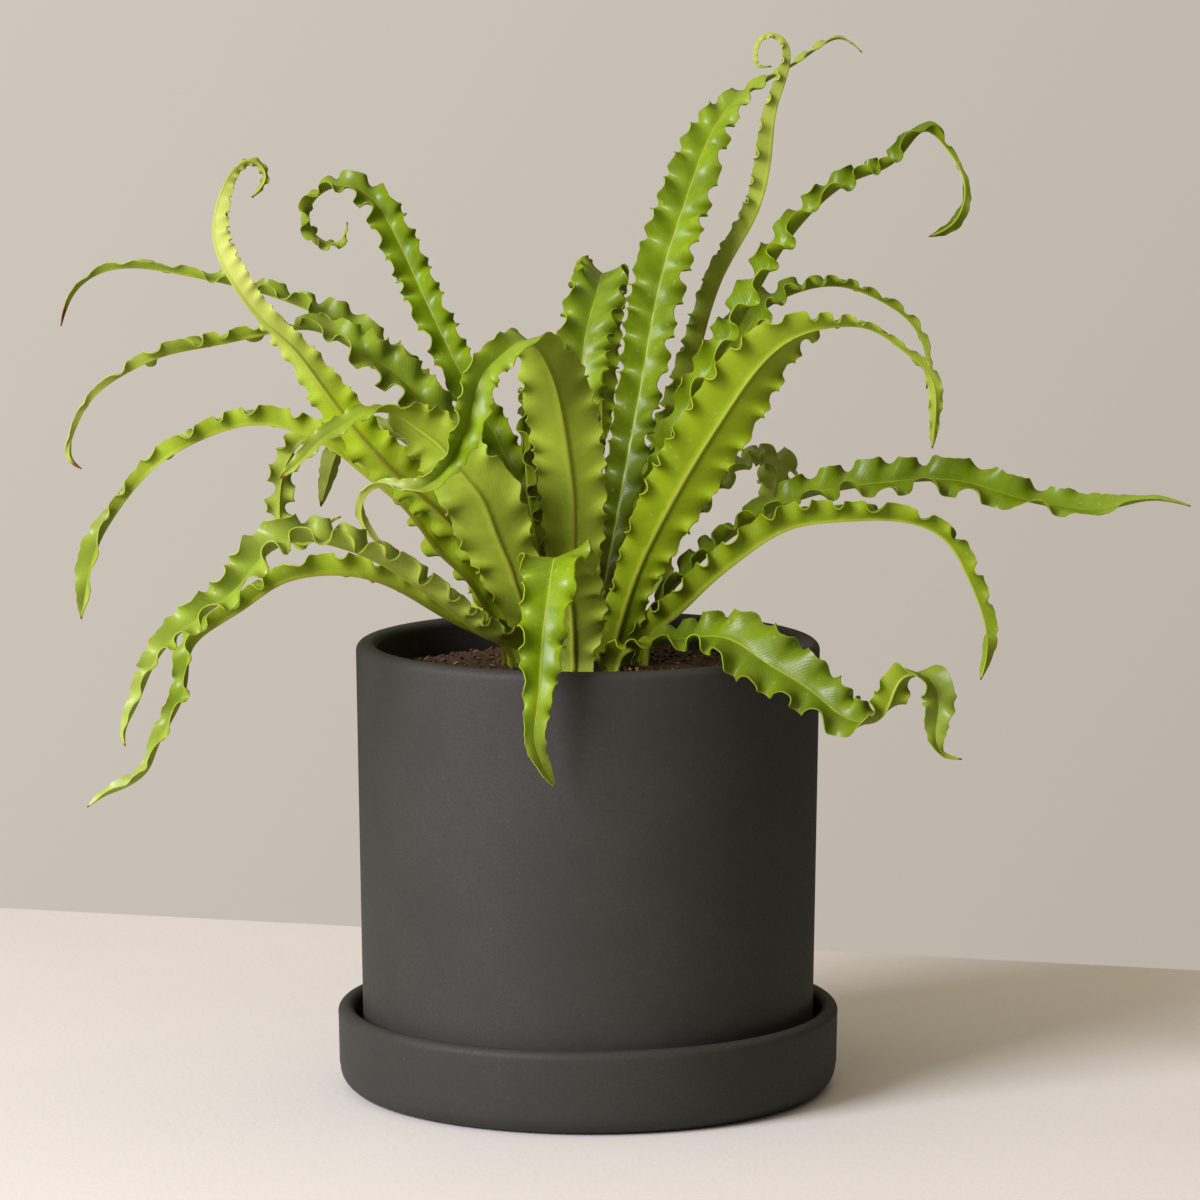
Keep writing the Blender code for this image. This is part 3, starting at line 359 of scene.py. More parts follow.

# How each frond differs from the others. The first five are read at its foot, a quarter, the middle,
# three quarters and its tip: how yellow and how olive it turns there, how high and how long its waves
# are beside the usual, and how much further it is folded, in degrees. Red is for the foot of its
# midrib, dry is the share of its length that has dried brown, depth is how near to the midrib its
# waves begin, with 1 for at the midrib, and sway is how far the blade rolls, in degrees.
# The yellow is partly painted light, lifting parts that fall in shade, and the olive partly painted shade
Look = namedtuple("Look", "yellow olive height length close red dry depth sway", defaults=(
    (0.05, 0.05, 0.05, 0.10, 0.30), (0.3, 0.05, 0, 0, 0), (0.7, 1, 1, 0.9, 0.3), (1, 1, 1, 1, 1),
    (0, 0, 0, 0, 0), 0.2, 0.006, 1.8, 7))
LOOKS = {
    "frond_tall_1": Look(
        yellow=(0, 0, 0.02, 0.05, 0.4), olive=(1, 0.7, 0.1, 0, 0), height=(0.7, 0.9, 1, 0.9, 0.5),
        length=(0.9, 1, 1.05, 1, 0.8), red=0, depth=1.4, sway=3),
    "frond_tall_2": Look(
        yellow=(0.1, 0.15, 0.1, 0.3, 0.45), olive=(0.2, 0.1, 0.1, 0, 0), height=(0.8, 1, 1.3, 0.8, 0.9),
        length=(1, 1.1, 1.1, 0.9, 0.34), close=(0, 0, 15, 20, 0), red=1, depth=1.3),
    "frond_right_1": Look(
        yellow=(0, 0, 0, 0, 0), olive=(0.3, 0.1, 0.1, 0.4, 1), height=(1, 1.2, 1.3, 1.5, 0.2),
        length=(1, 1.2, 1.2, 1.1, 0.9), red=0.1, depth=1.4, sway=12),
    "frond_right_2": Look(
        yellow=(0, 0, 0, 0, 0.2), olive=(0.4, 0.35, 0.3, 0.25, 0.1), height=(0.8, 1, 1, 1, 0.5),
        length=(1, 1, 0.9, 0.8, 0.8), dry=0.035, depth=1.6),
    "frond_right_3": Look(
        yellow=(0.03, 0, 0, 0.1, 0.3), olive=(0.3, 0.12, 0.1, 0.05, 0.2), height=(0.6, 0.7, 0.75, 0.8, 0.5),
        length=(0.9, 1.05, 1.1, 0.85, 0.7), close=(-14, -16, -14, 0, 0), red=0.3, depth=3, sway=4),
    "frond_right_4": Look(
        yellow=(0, 0, 0, 0, 0.2), olive=(0.4, 0.3, 0.25, 0.2, 0.1), height=(0.8, 1, 0.95, 1, 0.1),
        length=(1, 1, 1.15, 1.9, 1.9), depth=1.5, sway=22),
    "frond_right_5": Look(
        yellow=(0, 0, 0, 0, 0.1), olive=(0.4, 0.3, 0.3, 0.35, 0.2), height=(0.8, 1, 1.2, 1.2, 0.2),
        length=(1, 1, 1.1, 1.15, 1.2)),
    "frond_right_6": Look(
        yellow=(0, 0, 0.1, 0.25, 0.2), olive=(0.5, 0.3, 0.1, 0, 0), height=(0.7, 1, 1.2, 1.4, 0.8),
        length=(1, 1, 1, 0.9, 0.8), depth=1.6),
    "frond_front_1": Look(
        yellow=(0.3, 0.15, 0, 0, 0.15), olive=(0, 0, 0.05, 0.1, 0), height=(0.4, 0.8, 1.1, 0.9, 0.1),
        length=(1, 1.2, 1.35, 1.3, 1.3), close=(-13, -13, 0, 0, 0), red=0, depth=2.6, sway=5),
    "frond_front_2": Look(
        yellow=(0.1, 0, 0, 0.05, 0.2), olive=(0.2, 0.4, 0.55, 0.4, 0.1), height=(0.6, 1, 1, 1, 0.3),
        length=(1, 1.1, 1.2, 1.1, 1), red=0, depth=1.9),
    "frond_front_3": Look(
        yellow=(0.15, 0.12, 0.14, 0, 0.7), olive=(0, 0, 0, 0, 0), height=(0.4, 0.55, 0.6, 0.5, 0.2),
        length=(0.8, 1, 1.1, 0.9, 1.2), close=(-12, -12, 0, 35, 20), red=0.3, depth=3.2, sway=4),
    "frond_back_1": Look(
        yellow=(0.1, 0.1, 0.05, 0, 0), olive=(0.4, 0.1, 0.15, 0.4, 0.4), height=(0.8, 1, 1.1, 1, 0.6),
        length=(0.8, 0.8, 0.8, 0.8, 0.8), red=0.1, depth=2.2, sway=5),
    "frond_back_2": Look(yellow=(0, 0, 0, 0, 0), olive=(0.8, 0.7, 0.6, 0.6, 0.6), dry=0.01),
    "frond_left_1": Look(
        yellow=(0, 0, 0, 0, 0.25), olive=(0.3, 0.15, 0, 0.2, 0.2), height=(0.7, 1, 1.05, 1.2, 1.3),
        length=(1, 1.1, 1.05, 0.85, 0.7), red=0, dry=0.004, depth=1.6, sway=6),
    "frond_left_2": Look(
        yellow=(0, 0.1, 0.1, 0.1, 0.3), olive=(0.3, 0.1, 0, 0, 0.2), height=(0.7, 1.1, 1.1, 1.1, 0.1),
        length=(1, 1.1, 1.1, 1.3, 1.6), red=0.3, dry=0.035, depth=1.5, sway=30),
    "frond_left_3": Look(
        yellow=(0.1, 0.1, 0.1, 0.15, 0.6), olive=(0.2, 0.1, 0, 0, 0), height=(0.7, 1.1, 1.1, 1.4, 0.1),
        length=(1, 1.1, 1.1, 1.2, 1.5), red=0.8, dry=0.02, depth=1.4, sway=27),
    "frond_left_4": Look(
        yellow=(0.1, 0.03, 0, 0.72, 0.3), olive=(0.1, 0, 0, 0, 0.35), height=(0.7, 1, 0.6, 0.3, 1.2),
        length=(1, 1, 0.95, 0.6, 0.34), close=(0, 0, 0, 40, 10), red=1, depth=1.9, sway=6),
    "frond_left_5": Look(
        yellow=(0.12, 0.14, 0.16, 0.05, 0.3), olive=(0, 0, 0, 0, 0), height=(0.4, 0.6, 0.7, 0.7, 0.4),
        length=(0.9, 1.15, 1.2, 1, 0.9), close=(-12, -12, -10, 0, 30), red=0.3, dry=0.015, depth=3, sway=4),
    "frond_left_6": Look(
        yellow=(0, 0, 0.05, 0.1, 0.3), olive=(0.4, 0.2, 0, 0, 0), height=(0.7, 1, 1.2, 1.1, 0.05),
        length=(1, 1.1, 1.1, 1.2, 1.4), red=0.6, depth=1.5, sway=24),
    "frond_left_7": Look(
        yellow=(0, 0, 0.1, 0.25, 0.2), olive=(0.4, 0.3, 0.1, 0, 0), height=(0.7, 1, 1.2, 1.9, 1.2),
        length=(1, 1, 1, 0.85, 0.7), depth=1.7, sway=10),
    "frond_left_8": Look(
        yellow=(0, 0, 0.1, 0.4, 0.6), olive=(0.4, 0.2, 0, 0, 0), height=(0.7, 1, 0.9, 0.3, 0.05),
        dry=0.015, depth=1.7),
    "frond_left_9": Look(
        yellow=(0.1, 0.3, 0.25, 0.15, 0.4), olive=(0.1, 0, 0, 0, 0), height=(0.7, 1.1, 1.2, 1.1, 0.2),
        length=(1, 1, 1.1, 1.1, 1), depth=1.5),
    "frond_left_10": Look(
        yellow=(0.1, 0.1, 0.05, 0.1, 0.4), olive=(0.2, 0, 0, 0, 0), height=(0.7, 1, 1.1, 0.9, 0.2),
        length=(1, 1, 1.05, 1.2, 1.3), red=0.5, depth=1.7),
}
STOPS = (0, 0.25, 0.5, 0.75, 1)  # the shares of the length that a look is read at

# A blade in rows across its midrib, before it is ruffled. From the rib's middle out, each row holds its
# points' distances and the midrib's extra thickness there. The fold is in radians
Blade = namedtuple("Blade", "even middle half_width heading sides faces from_rib swell fold")


class FernFrondSettings(bpy.types.PropertyGroup):
    """Sizes and colours of the fronds."""

    wave_length: FloatProperty(
        name="Wave length", description="Length of one wave of the ruffled edge where a frond is widest",
        default=12.2 * MM, min=6 * MM, max=30 * MM, unit="LENGTH")
    wave_height: FloatProperty(
        name="Wave height", description="How far the edge waves to each side, as a share of half the blade",
        default=0.27, min=0, max=0.4, subtype="FACTOR")
    row_step: FloatProperty(
        name="Row step", description="Length of one row of faces along a frond",
        default=0.7 * MM, min=0.5 * MM, max=5 * MM, unit="LENGTH")
    blade_thick: FloatProperty(
        name="Blade thickness", description="Thickness of the blade beside the midrib",
        default=0.65 * MM, min=0.4 * MM, max=0.9 * MM, unit="LENGTH")
    rib_thick: FloatProperty(
        name="Midrib thickness", description="Thickness of the midrib at the foot of the stalk",
        default=1.8 * MM, min=1 * MM, max=4 * MM, unit="LENGTH")
    upper_deep: FloatVectorProperty(
        name="Upper face, deep", description="Darker green of the glossy upper face",
        default=(0.095, 0.152, 0.0008), subtype="COLOR", min=0, max=1)
    upper_bright: FloatVectorProperty(
        name="Upper face, bright", description="Lighter green of the glossy upper face",
        default=(0.172, 0.262, 0.001), subtype="COLOR", min=0, max=1)
    under_deep: FloatVectorProperty(
        name="Underside, deep", description="Darker green of the matte underside",
        default=(0.155, 0.218, 0.0015), subtype="COLOR", min=0, max=1)
    under_bright: FloatVectorProperty(
        name="Underside, bright", description="Lighter green of the matte underside",
        default=(0.222, 0.306, 0.005), subtype="COLOR", min=0, max=1)
    rib_pale: FloatVectorProperty(
        name="Midrib", description="Pale green of the midrib",
        default=(0.290, 0.340, 0.030), subtype="COLOR", min=0, max=1)
    rib_red: FloatVectorProperty(
        name="Midrib foot", description="Red brown of the midrib's lower part, on the underside",
        default=(0.105, 0.044, 0.005), subtype="COLOR", min=0, max=1)
    # The yellow is the young and drying parts' own colour, and partly painted light on parts that fall in
    # shade
    yellow_and_painted_light: FloatVectorProperty(
        name="Young yellow", description="Yellow green of young and drying parts",
        default=(0.470, 0.485, 0.130), subtype="COLOR", min=0, max=1)
    # The olive is old leaves' own colour, and partly painted shade on parts that lie in shadow
    olive_and_painted_shade: FloatVectorProperty(
        name="Old olive", description="Dull dark green of old leaves",
        default=(0.055, 0.072, 0.003), subtype="COLOR", min=0, max=1)
    dry_brown: FloatVectorProperty(
        name="Dry tip", description="Brown of the dried tips",
        default=(0.150, 0.040, 0.009), subtype="COLOR", min=0, max=1)
    dust_pale: FloatVectorProperty(
        name="Specks", description="Pale green grey of the water specks",
        default=(0.420, 0.460, 0.280), subtype="COLOR", min=0, max=1)


class FernPotSettings(bpy.types.PropertyGroup):
    """Sizes and colours of the ceramics, the soil and the crown."""

    sides: IntProperty(
        name="Sides", description="Number of faces round each turned piece", default=160, min=32, max=320)
    charcoal: FloatVectorProperty(
        name="Ceramic", description="Charcoal of the matte ceramic",
        default=(0.0335, 0.0315, 0.0275), subtype="COLOR", min=0, max=1)
    soil_dark: FloatVectorProperty(
        name="Soil", description="Dark brown of the moist potting mix",
        default=(0.041, 0.019, 0.009), subtype="COLOR", min=0, max=1)
    soil_light: FloatVectorProperty(
        name="Bark", description="Red brown of the bark in the potting mix",
        default=(0.185, 0.074, 0.030), subtype="COLOR", min=0, max=1)
    bark_pale: FloatVectorProperty(
        name="Dry bark", description="Paler brown of dry bits of bark",
        default=(0.180, 0.090, 0.050), subtype="COLOR", min=0, max=1)
    grit: FloatVectorProperty(
        name="Grit", description="Pale brown of the grit in the potting mix",
        default=(0.300, 0.210, 0.130), subtype="COLOR", min=0, max=1)
    crown_brown: FloatVectorProperty(
        name="Crown", description="Brown of the crown's scales",
        default=(0.050, 0.024, 0.010), subtype="COLOR", min=0, max=1)
    bits: IntProperty(
        name="Soil bits", description="Number of bits of bark and grit on the soil",
        default=3600, min=0, max=6000)


class FernStudioSettings(bpy.types.PropertyGroup):
    """The plain studio that the plant is shown in."""

    floor_colour: FloatVectorProperty(
        name="Floor", description="Pale cream of the floor",
        default=(0.605, 0.576, 0.552), subtype="COLOR", min=0, max=1)
    # The backdrop's light and dark sides are painted light and painted shade on the wall behind the plant
    backdrop_light: FloatVectorProperty(
        name="Backdrop, light side", description="Warm grey behind the plant, where it is lightest",
        default=(0.700, 0.640, 0.565), subtype="COLOR", min=0, max=1)
    backdrop_dark: FloatVectorProperty(
        name="Backdrop, dark side", description="Warm grey behind the plant, where it is darkest",
        default=(0.430, 0.380, 0.330), subtype="COLOR", min=0, max=1)
    key_power: FloatProperty(
        name="Key light", description="Power of the soft key light", default=88, min=0, unit="POWER")
    fill_light: FloatProperty(
        name="Fill light", description="Strength of the soft light from above", default=1.13, min=0, max=4)
    side_share: FloatProperty(
        name="Side fill", description="Strength of the fill from the front left beside that from above",
        default=0.58, min=0, max=2)
    fill_colour: FloatVectorProperty(
        name="Fill colour", description="Warm colour of the soft light from above",
        default=(1.0, 0.885, 0.67), subtype="COLOR", min=0, max=1)
    lens: FloatProperty(
        name="Lens", description="Focal length of the camera, in mm on a 36 mm sensor",
        default=165.24, min=20, max=400)


def paint(tree, kind, inputs=None, **settings):
    """Add a shader node. Each input is a plain value or another node's output."""
    made = tree.nodes.new(kind)
    for name, value in settings.items():
        setattr(made, name, value)
    for name, value in (inputs or {}).items():
        if isinstance(value, bpy.types.NodeSocket):
            tree.links.new(value, made.inputs[name])
        else:
            made.inputs[name].default_value = value
    return made


def mixed(tree, share, first, second):
    """Mix two colours by a share."""
    made = tree.nodes.new("ShaderNodeMix")
    made.data_type = "RGBA"
    for socket, value in ((made.inputs[0], share), (made.inputs[6], first), (made.inputs[7], second)):
        if isinstance(value, bpy.types.NodeSocket):
            tree.links.new(value, socket)
        else:
            socket.default_value = value if isinstance(value, float) else (*value, 1)
    return made.outputs[2]


def calculated(tree, operation, *values):
    """Work one number out of one to three others."""
    made = tree.nodes.new("ShaderNodeMath")
    made.operation = operation
    for socket, value in zip(made.inputs, values):
        if isinstance(value, bpy.types.NodeSocket):
            tree.links.new(value, socket)
        else:
            socket.default_value = value
    return made.outputs[0]


def times(tree, first, second):
    """Two numbers multiplied."""
    return calculated(tree, "MULTIPLY", first, second)


def times_plus(tree, first, second, third):
    """Two numbers multiplied, and a third added."""
    return calculated(tree, "MULTIPLY_ADD", first, second, third)


def toned(colour, strength):
    """A colour made darker or lighter."""
    return tuple(strength * part for part in colour)


def ranged(tree, value, low, high, to_low=0.0, to_high=1.0):
    """Map a number smoothly from one range to another, without running past it."""
    return paint(tree, "ShaderNodeMapRange", {
        "Value": value, "From Min": low, "From Max": high, "To Min": to_low, "To Max": to_high},
        interpolation_type="SMOOTHSTEP").outputs[0]


def new_group(name, inputs, outputs):
    """Start a shader node group. It gives the tree, its inputs and the node that takes its outputs."""
    tree = bpy.data.node_groups.new(name, "ShaderNodeTree")
    for label, value in inputs:
        socket = tree.interface.new_socket(name=label, in_out="INPUT", socket_type="NodeSocketFloat")
        socket.default_value = value
    for label in outputs:
        tree.interface.new_socket(name=label, in_out="OUTPUT", socket_type="NodeSocketFloat")
    entry = tree.nodes.new("NodeGroupInput")
    leave = tree.nodes.new("NodeGroupOutput")
    return tree, entry.outputs, leave.inputs


def mottle_group():
    """Soft cloudy variation, at a size given in metres."""
    tree, given, out = new_group("soft mottle", [("Size", 0.02), ("Detail", 3)], ["Tone"])
    place = paint(tree, "ShaderNodeTexCoord")
    scale = calculated(tree, "DIVIDE", 1, given["Size"])
    cloud = paint(tree, "ShaderNodeTexNoise", {
        "Vector": place.outputs["Object"], "Scale": scale, "Detail": given["Detail"], "Roughness": 0.55})
    tree.links.new(ranged(tree, cloud.outputs["Fac"], 0.3, 0.7), out["Tone"])
    return tree


def speck_group():
    """Small round specks, a few in each square centimetre."""
    tree, given, out = new_group("small specks", [("Size", 0.002), ("Amount", 0.2)], ["Speck"])
    place = paint(tree, "ShaderNodeTexCoord")
    scale = calculated(tree, "DIVIDE", 1, given["Size"])
    cells = paint(tree, "ShaderNodeTexVoronoi", {
        "Vector": place.outputs["Object"], "Scale": scale, "Randomness": 1})
    chance = paint(tree, "ShaderNodeSeparateColor", {"Color": cells.outputs["Color"]})
    chosen = calculated(tree, "LESS_THAN", chance.outputs[0], given["Amount"])
    dot = ranged(tree, cells.outputs["Distance"], 0.36, 0.14)
    tree.links.new(times(tree, chosen, dot), out["Speck"])
    return tree


def vein_group():
    """Fine side veins that run slanting from the midrib to the edge, on both halves of a blade."""
    tree, given, out = new_group(
        "slanting veins", [("Spacing", 0.0012), ("Lean", 0.7), ("Wander", 0.0015)], ["Vein", "Pleat"])
    sheet = paint(tree, "ShaderNodeUVMap", uv_map="blade")
    parts = paint(tree, "ShaderNodeSeparateXYZ", {"Vector": sheet.outputs[0]})
    across = calculated(tree, "ABSOLUTE", parts.outputs["X"])
    slanted = times_plus(tree, across, times(tree, given["Lean"], -1), parts.outputs["Y"])
    cloud = paint(tree, "ShaderNodeTexNoise", {"Vector": sheet.outputs[0], "Scale": 160, "Detail": 1})
    wandered = times_plus(tree, cloud.outputs["Fac"], given["Wander"], slanted)
    turns = calculated(tree, "DIVIDE", wandered, given["Spacing"])
    wave = calculated(tree, "SINE", times(tree, turns, 2 * math.pi))
    tree.links.new(ranged(tree, wave, -0.2, 1), out["Vein"])

    # The pleats are 3.7 times as broad as the veins
    slow = calculated(tree, "SINE", times(tree, turns, 2 * math.pi / 3.7))
    tree.links.new(ranged(tree, slow, -1, 1), out["Pleat"])
    return tree


GROUP_MAKERS = {"soft mottle": mottle_group, "small specks": speck_group, "slanting veins": vein_group}


def use_group(tree, name, **values):
    """Place a node group in a material. It is built when it is first asked for."""
    made = tree.nodes.new("ShaderNodeGroup")
    made.node_tree = bpy.data.node_groups.get(name) or GROUP_MAKERS[name]()
    for label, value in values.items():
        made.inputs[label.capitalize()].default_value = value
    return made.outputs


def mottle(tree, size, detail):
    """Place the soft mottle in a material."""
    return use_group(tree, "soft mottle", size=size, detail=detail)["Tone"]


def specks(tree, size, amount):
    """Place the small specks in a material."""
    return use_group(tree, "small specks", size=size, amount=amount)["Speck"]


def new_material(name, roughness=0.5, specular=0.5):
    """Start a material: its tree and its Principled shader."""
    material = bpy.data.materials.new(name)
    material.use_nodes = True
    tree = material.node_tree
    surface = tree.nodes["Principled BSDF"]
    surface.inputs["Roughness"].default_value = roughness
    surface.inputs["Specular IOR Level"].default_value = specular
    surface.inputs["Metallic"].default_value = 0
    return material, tree, surface


def bumped(tree, surface, height, strength, distance):
    """Feed a height into the shader's normal."""
    bump = paint(tree, "ShaderNodeBump", {"Height": height, "Strength": strength, "Distance": distance})
    tree.links.new(bump.outputs[0], surface.inputs["Normal"])


def leaf_material(name, deep, bright, roughness, specular, vein_share, red_share):
    """One face of the fronds: clouded green with side veins, a midrib and each frond's own tint."""
    settings = bpy.context.scene.fern_fronds
    material, tree, surface = new_material(name, specular=specular)
    rib = settings.rib_pale
    broad, fine = mottle(tree, 22 * MM, 2), mottle(tree, 3.5 * MM, 3)
    veins = use_group(tree, "slanting veins")
    dots = specks(tree, 2.2 * MM, 0.10)
    layout = paint(tree, "ShaderNodeAttribute", attribute_name="lay").outputs
    along, ribbed, across = paint(tree, "ShaderNodeSeparateColor", {"Color": layout["Color"]}).outputs
    tint = paint(tree, "ShaderNodeAttribute", attribute_name="tint").outputs
    yellow, olive, dry = paint(tree, "ShaderNodeSeparateColor", {"Color": tint["Color"]}).outputs

    # The veins fade towards the narrow end
    broad_part = ranged(tree, along, 0.72, 0.4, 0.1, 1)
    vein_share = times(tree, broad_part, vein_share)
    pleat_shade_share = times(tree, vein_share, 0.6)
    green = mixed(tree, times_plus(tree, fine, 0.3, times(tree, broad, 0.7)), deep, bright)
    # The green is drawn darker along the pleats: painted shade in the folds between the veins
    green = mixed(tree, times(tree, veins["Pleat"], pleat_shade_share), green, deep)
    green = mixed(tree, times(tree, veins["Vein"], vein_share), green, rib)
    # Each frond's yellow is partly painted light and its olive partly painted shade, besides the young and
    # old leaves' own colours
    green = mixed(tree, yellow, green, settings.yellow_and_painted_light)
    green = mixed(tree, olive, green, settings.olive_and_painted_shade)
    # The blade turns pale along its edge: a painted highlight on the margin
    green = mixed(tree, ranged(tree, across, 0.95, 1, 0, 0.2), green, rib)

    # The midrib is red brown at its foot on some fronds, which the alpha of their layout tells
    foot = times(tree, ranged(tree, along, 0.7, 0.15), red_share)
    foot = times(tree, foot, ranged(tree, layout["Alpha"], 0, 1, 0.25, 1))
    green = mixed(tree, ribbed, green, mixed(tree, foot, rib, settings.rib_red))
    green = mixed(tree, times(tree, dots, 0.14), green, settings.dust_pale)
    spoiled = mixed(tree, dry, green, settings.dry_brown)
    tree.links.new(spoiled, surface.inputs["Base Color"])
    surface.inputs["Subsurface Weight"].default_value = 0.05
    surface.inputs["Subsurface Radius"].default_value = (0.8, 1, 0.15)
    surface.inputs["Subsurface Scale"].default_value = 1.2 * MM
    shine = times_plus(tree, fine, 0.12, roughness)
    tree.links.new(times_plus(tree, dots, 0.15, shine), surface.inputs["Roughness"])
    relief = times_plus(tree, fine, 0.6, times_plus(tree, veins["Pleat"], 0.6, veins["Vein"]))
    bumped(tree, surface, times(tree, relief, broad_part), 0.2, 0.14 * MM)
    return material


def ceramic_material():
    """Matte charcoal ceramic with a fine grain and hardly seen clouds."""
    charcoal = bpy.context.scene.fern_pot.charcoal
    material, tree, surface = new_material("matte charcoal ceramic", specular=0.18)
    cloud, grain = mottle(tree, 30 * MM, 4), mottle(tree, 0.9 * MM, 2)
    flecks = specks(tree, 1.6 * MM, 0.06)
    colour = mixed(tree, cloud, toned(charcoal, 0.92), toned(charcoal, 1.07))
    colour = mixed(tree, times(tree, grain, 0.55), colour, toned(charcoal, 0.78))
    colour = mixed(tree, times(tree, flecks, 0.3), colour, toned(charcoal, 1.9))
    tree.links.new(colour, surface.inputs["Base Color"])
    dull = times_plus(tree, grain, 0.08, 0.56)
    tree.links.new(times_plus(tree, cloud, 0.04, dull), surface.inputs["Roughness"])
    bumped(tree, surface, times_plus(tree, cloud, 2.0, grain), 0.25, 0.06 * MM)
    return material


def soil_material():
    """Moist potting mix: dark peat, red brown bark and a little pale grit, by the bit."""
    settings = bpy.context.scene.fern_pot
    material, tree, surface = new_material("potting mix", specular=0.3)
    bit = paint(tree, "ShaderNodeAttribute", attribute_name="bit")
    grain = mottle(tree, 1.4 * MM, 4)
    dark, light = settings.soil_dark, settings.soil_light
    ramp = tree.nodes.new("ShaderNodeValToRGB")
    steps = ((0.0, dark), (0.6, toned(dark, 1.8)), (0.85, light), (0.95, settings.bark_pale),
             (0.99, settings.grit))
    for place, colour in steps[1:-1]:
        ramp.color_ramp.elements.new(place)
    for element, (place, colour) in zip(ramp.color_ramp.elements, steps):
        element.position = place
        element.color = (*colour, 1)
    tree.links.new(bit.outputs["Fac"], ramp.inputs["Fac"])
    colour = mixed(tree, times(tree, grain, 0.6), ramp.outputs["Color"], dark)
    tree.links.new(colour, surface.inputs["Base Color"])
    tree.links.new(times_plus(tree, grain, 0.25, 0.65), surface.inputs["Roughness"])
    bumped(tree, surface, grain, 0.6, 0.5 * MM)
    return material


def crown_material():
    """Brown scales and fibres, each with its own tone."""
    brown = bpy.context.scene.fern_pot.crown_brown
    material, tree, surface = new_material("crown scales", specular=0.3)
    bit = paint(tree, "ShaderNodeAttribute", attribute_name="bit")
    grain = mottle(tree, 1.2 * MM, 4)
    colour = mixed(tree, bit.outputs["Fac"], toned(brown, 0.35), toned(brown, 2.1))
    colour = mixed(tree, times(tree, grain, 0.5), colour, toned(brown, 0.4))
    tree.links.new(colour, surface.inputs["Base Color"])
    tree.links.new(times_plus(tree, grain, 0.2, 0.6), surface.inputs["Roughness"])
    bumped(tree, surface, grain, 0.5, 0.4 * MM)
    return material


def floor_material():
    """Plain pale floor with a fine paper grain, and a painted pool of light: darker away from its bright
    spot.
    """
    cream = bpy.context.scene.fern_studio.floor_colour
    material, tree, surface = new_material("pale floor", roughness=0.8, specular=0.2)
    grain, cloud = mottle(tree, 2.2 * MM, 3), mottle(tree, 120 * MM, 2)
    tone = times_plus(tree, grain, 0.6, times(tree, cloud, 0.4))
    colour = mixed(tree, tone, toned(cream, 0.96), toned(cream, 1.02))
    place = paint(tree, "ShaderNodeTexCoord").outputs["Object"]
    # Painted shade: the floor's colour darkens away from the middle of the painted pool of light
    away = paint(tree, "ShaderNodeVectorMath", {0: place, 1: PAINTED_POOL_MIDDLE}, operation="DISTANCE")
    painted_shade = ranged(tree, away.outputs["Value"], *PAINTED_POOL_FADE, 0, 0.3)
    colour = mixed(tree, painted_shade, colour, toned(cream, 0.2))
    tree.links.new(colour, surface.inputs["Base Color"])
    bumped(tree, surface, grain, 0.15, 0.2 * MM)
    return material


def arc(centre_x, centre_z, radius, start, end):
    """Points along a bend of a profile, between two angles in degrees."""
    angles = np.radians(np.linspace(start, end, ARC_STEPS + 1))
    return [(centre_x + radius * math.cos(a), centre_z + radius * math.sin(a)) for a in angles]


def start_piece():
    """Deselect everything, because an operator acts on all that is selected."""
    bpy.ops.object.select_all(action="DESELECT")


def finish_piece(piece, node, materials):
    """Give a piece its materials, and set it in the frame in place of its node."""
    for material in materials:
        piece.data.materials.append(material)
    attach(piece, BODY)
    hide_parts(node)


def turned(name, profile):
    """Spin a profile of (radius, height) points, from the middle out and up or round, about +Z."""
    start_piece()
    closed = profile[0][0] > 0
    bpy.ops.mesh.primitive_circle_add(vertices=len(profile), radius=0.1)
    piece = bpy.context.object
    piece.name = name
    piece.data.name = name
    for vertex, (radius, height) in zip(piece.data.vertices, profile):
        vertex.co = (radius, 0, height)
    bpy.ops.object.mode_set(mode="EDIT")
    if not closed:
        bpy.ops.mesh.select_mode(type="EDGE")
        bpy.ops.mesh.select_all(action="DESELECT")
        bpy.ops.object.mode_set(mode="OBJECT")
        last = len(profile) - 1
        for edge in piece.data.edges:
            edge.select = set(edge.vertices) == {0, last}
        bpy.ops.object.mode_set(mode="EDIT")
        bpy.ops.mesh.delete(type="EDGE")
    bpy.ops.mesh.select_all(action="SELECT")
    bpy.ops.mesh.spin(steps=bpy.context.scene.fern_pot.sides, angle=2 * math.pi,
                      center=(0, 0, 0), axis=(0, 0, 1))
    bpy.ops.mesh.select_all(action="SELECT")
    bpy.ops.mesh.remove_doubles(threshold=MERGE_DISTANCE)
    bpy.ops.mesh.normals_make_consistent(inside=False)
    bpy.ops.object.mode_set(mode="OBJECT")
    bpy.ops.object.shade_smooth_by_angle(angle=TURNED_SHARP)
    return piece


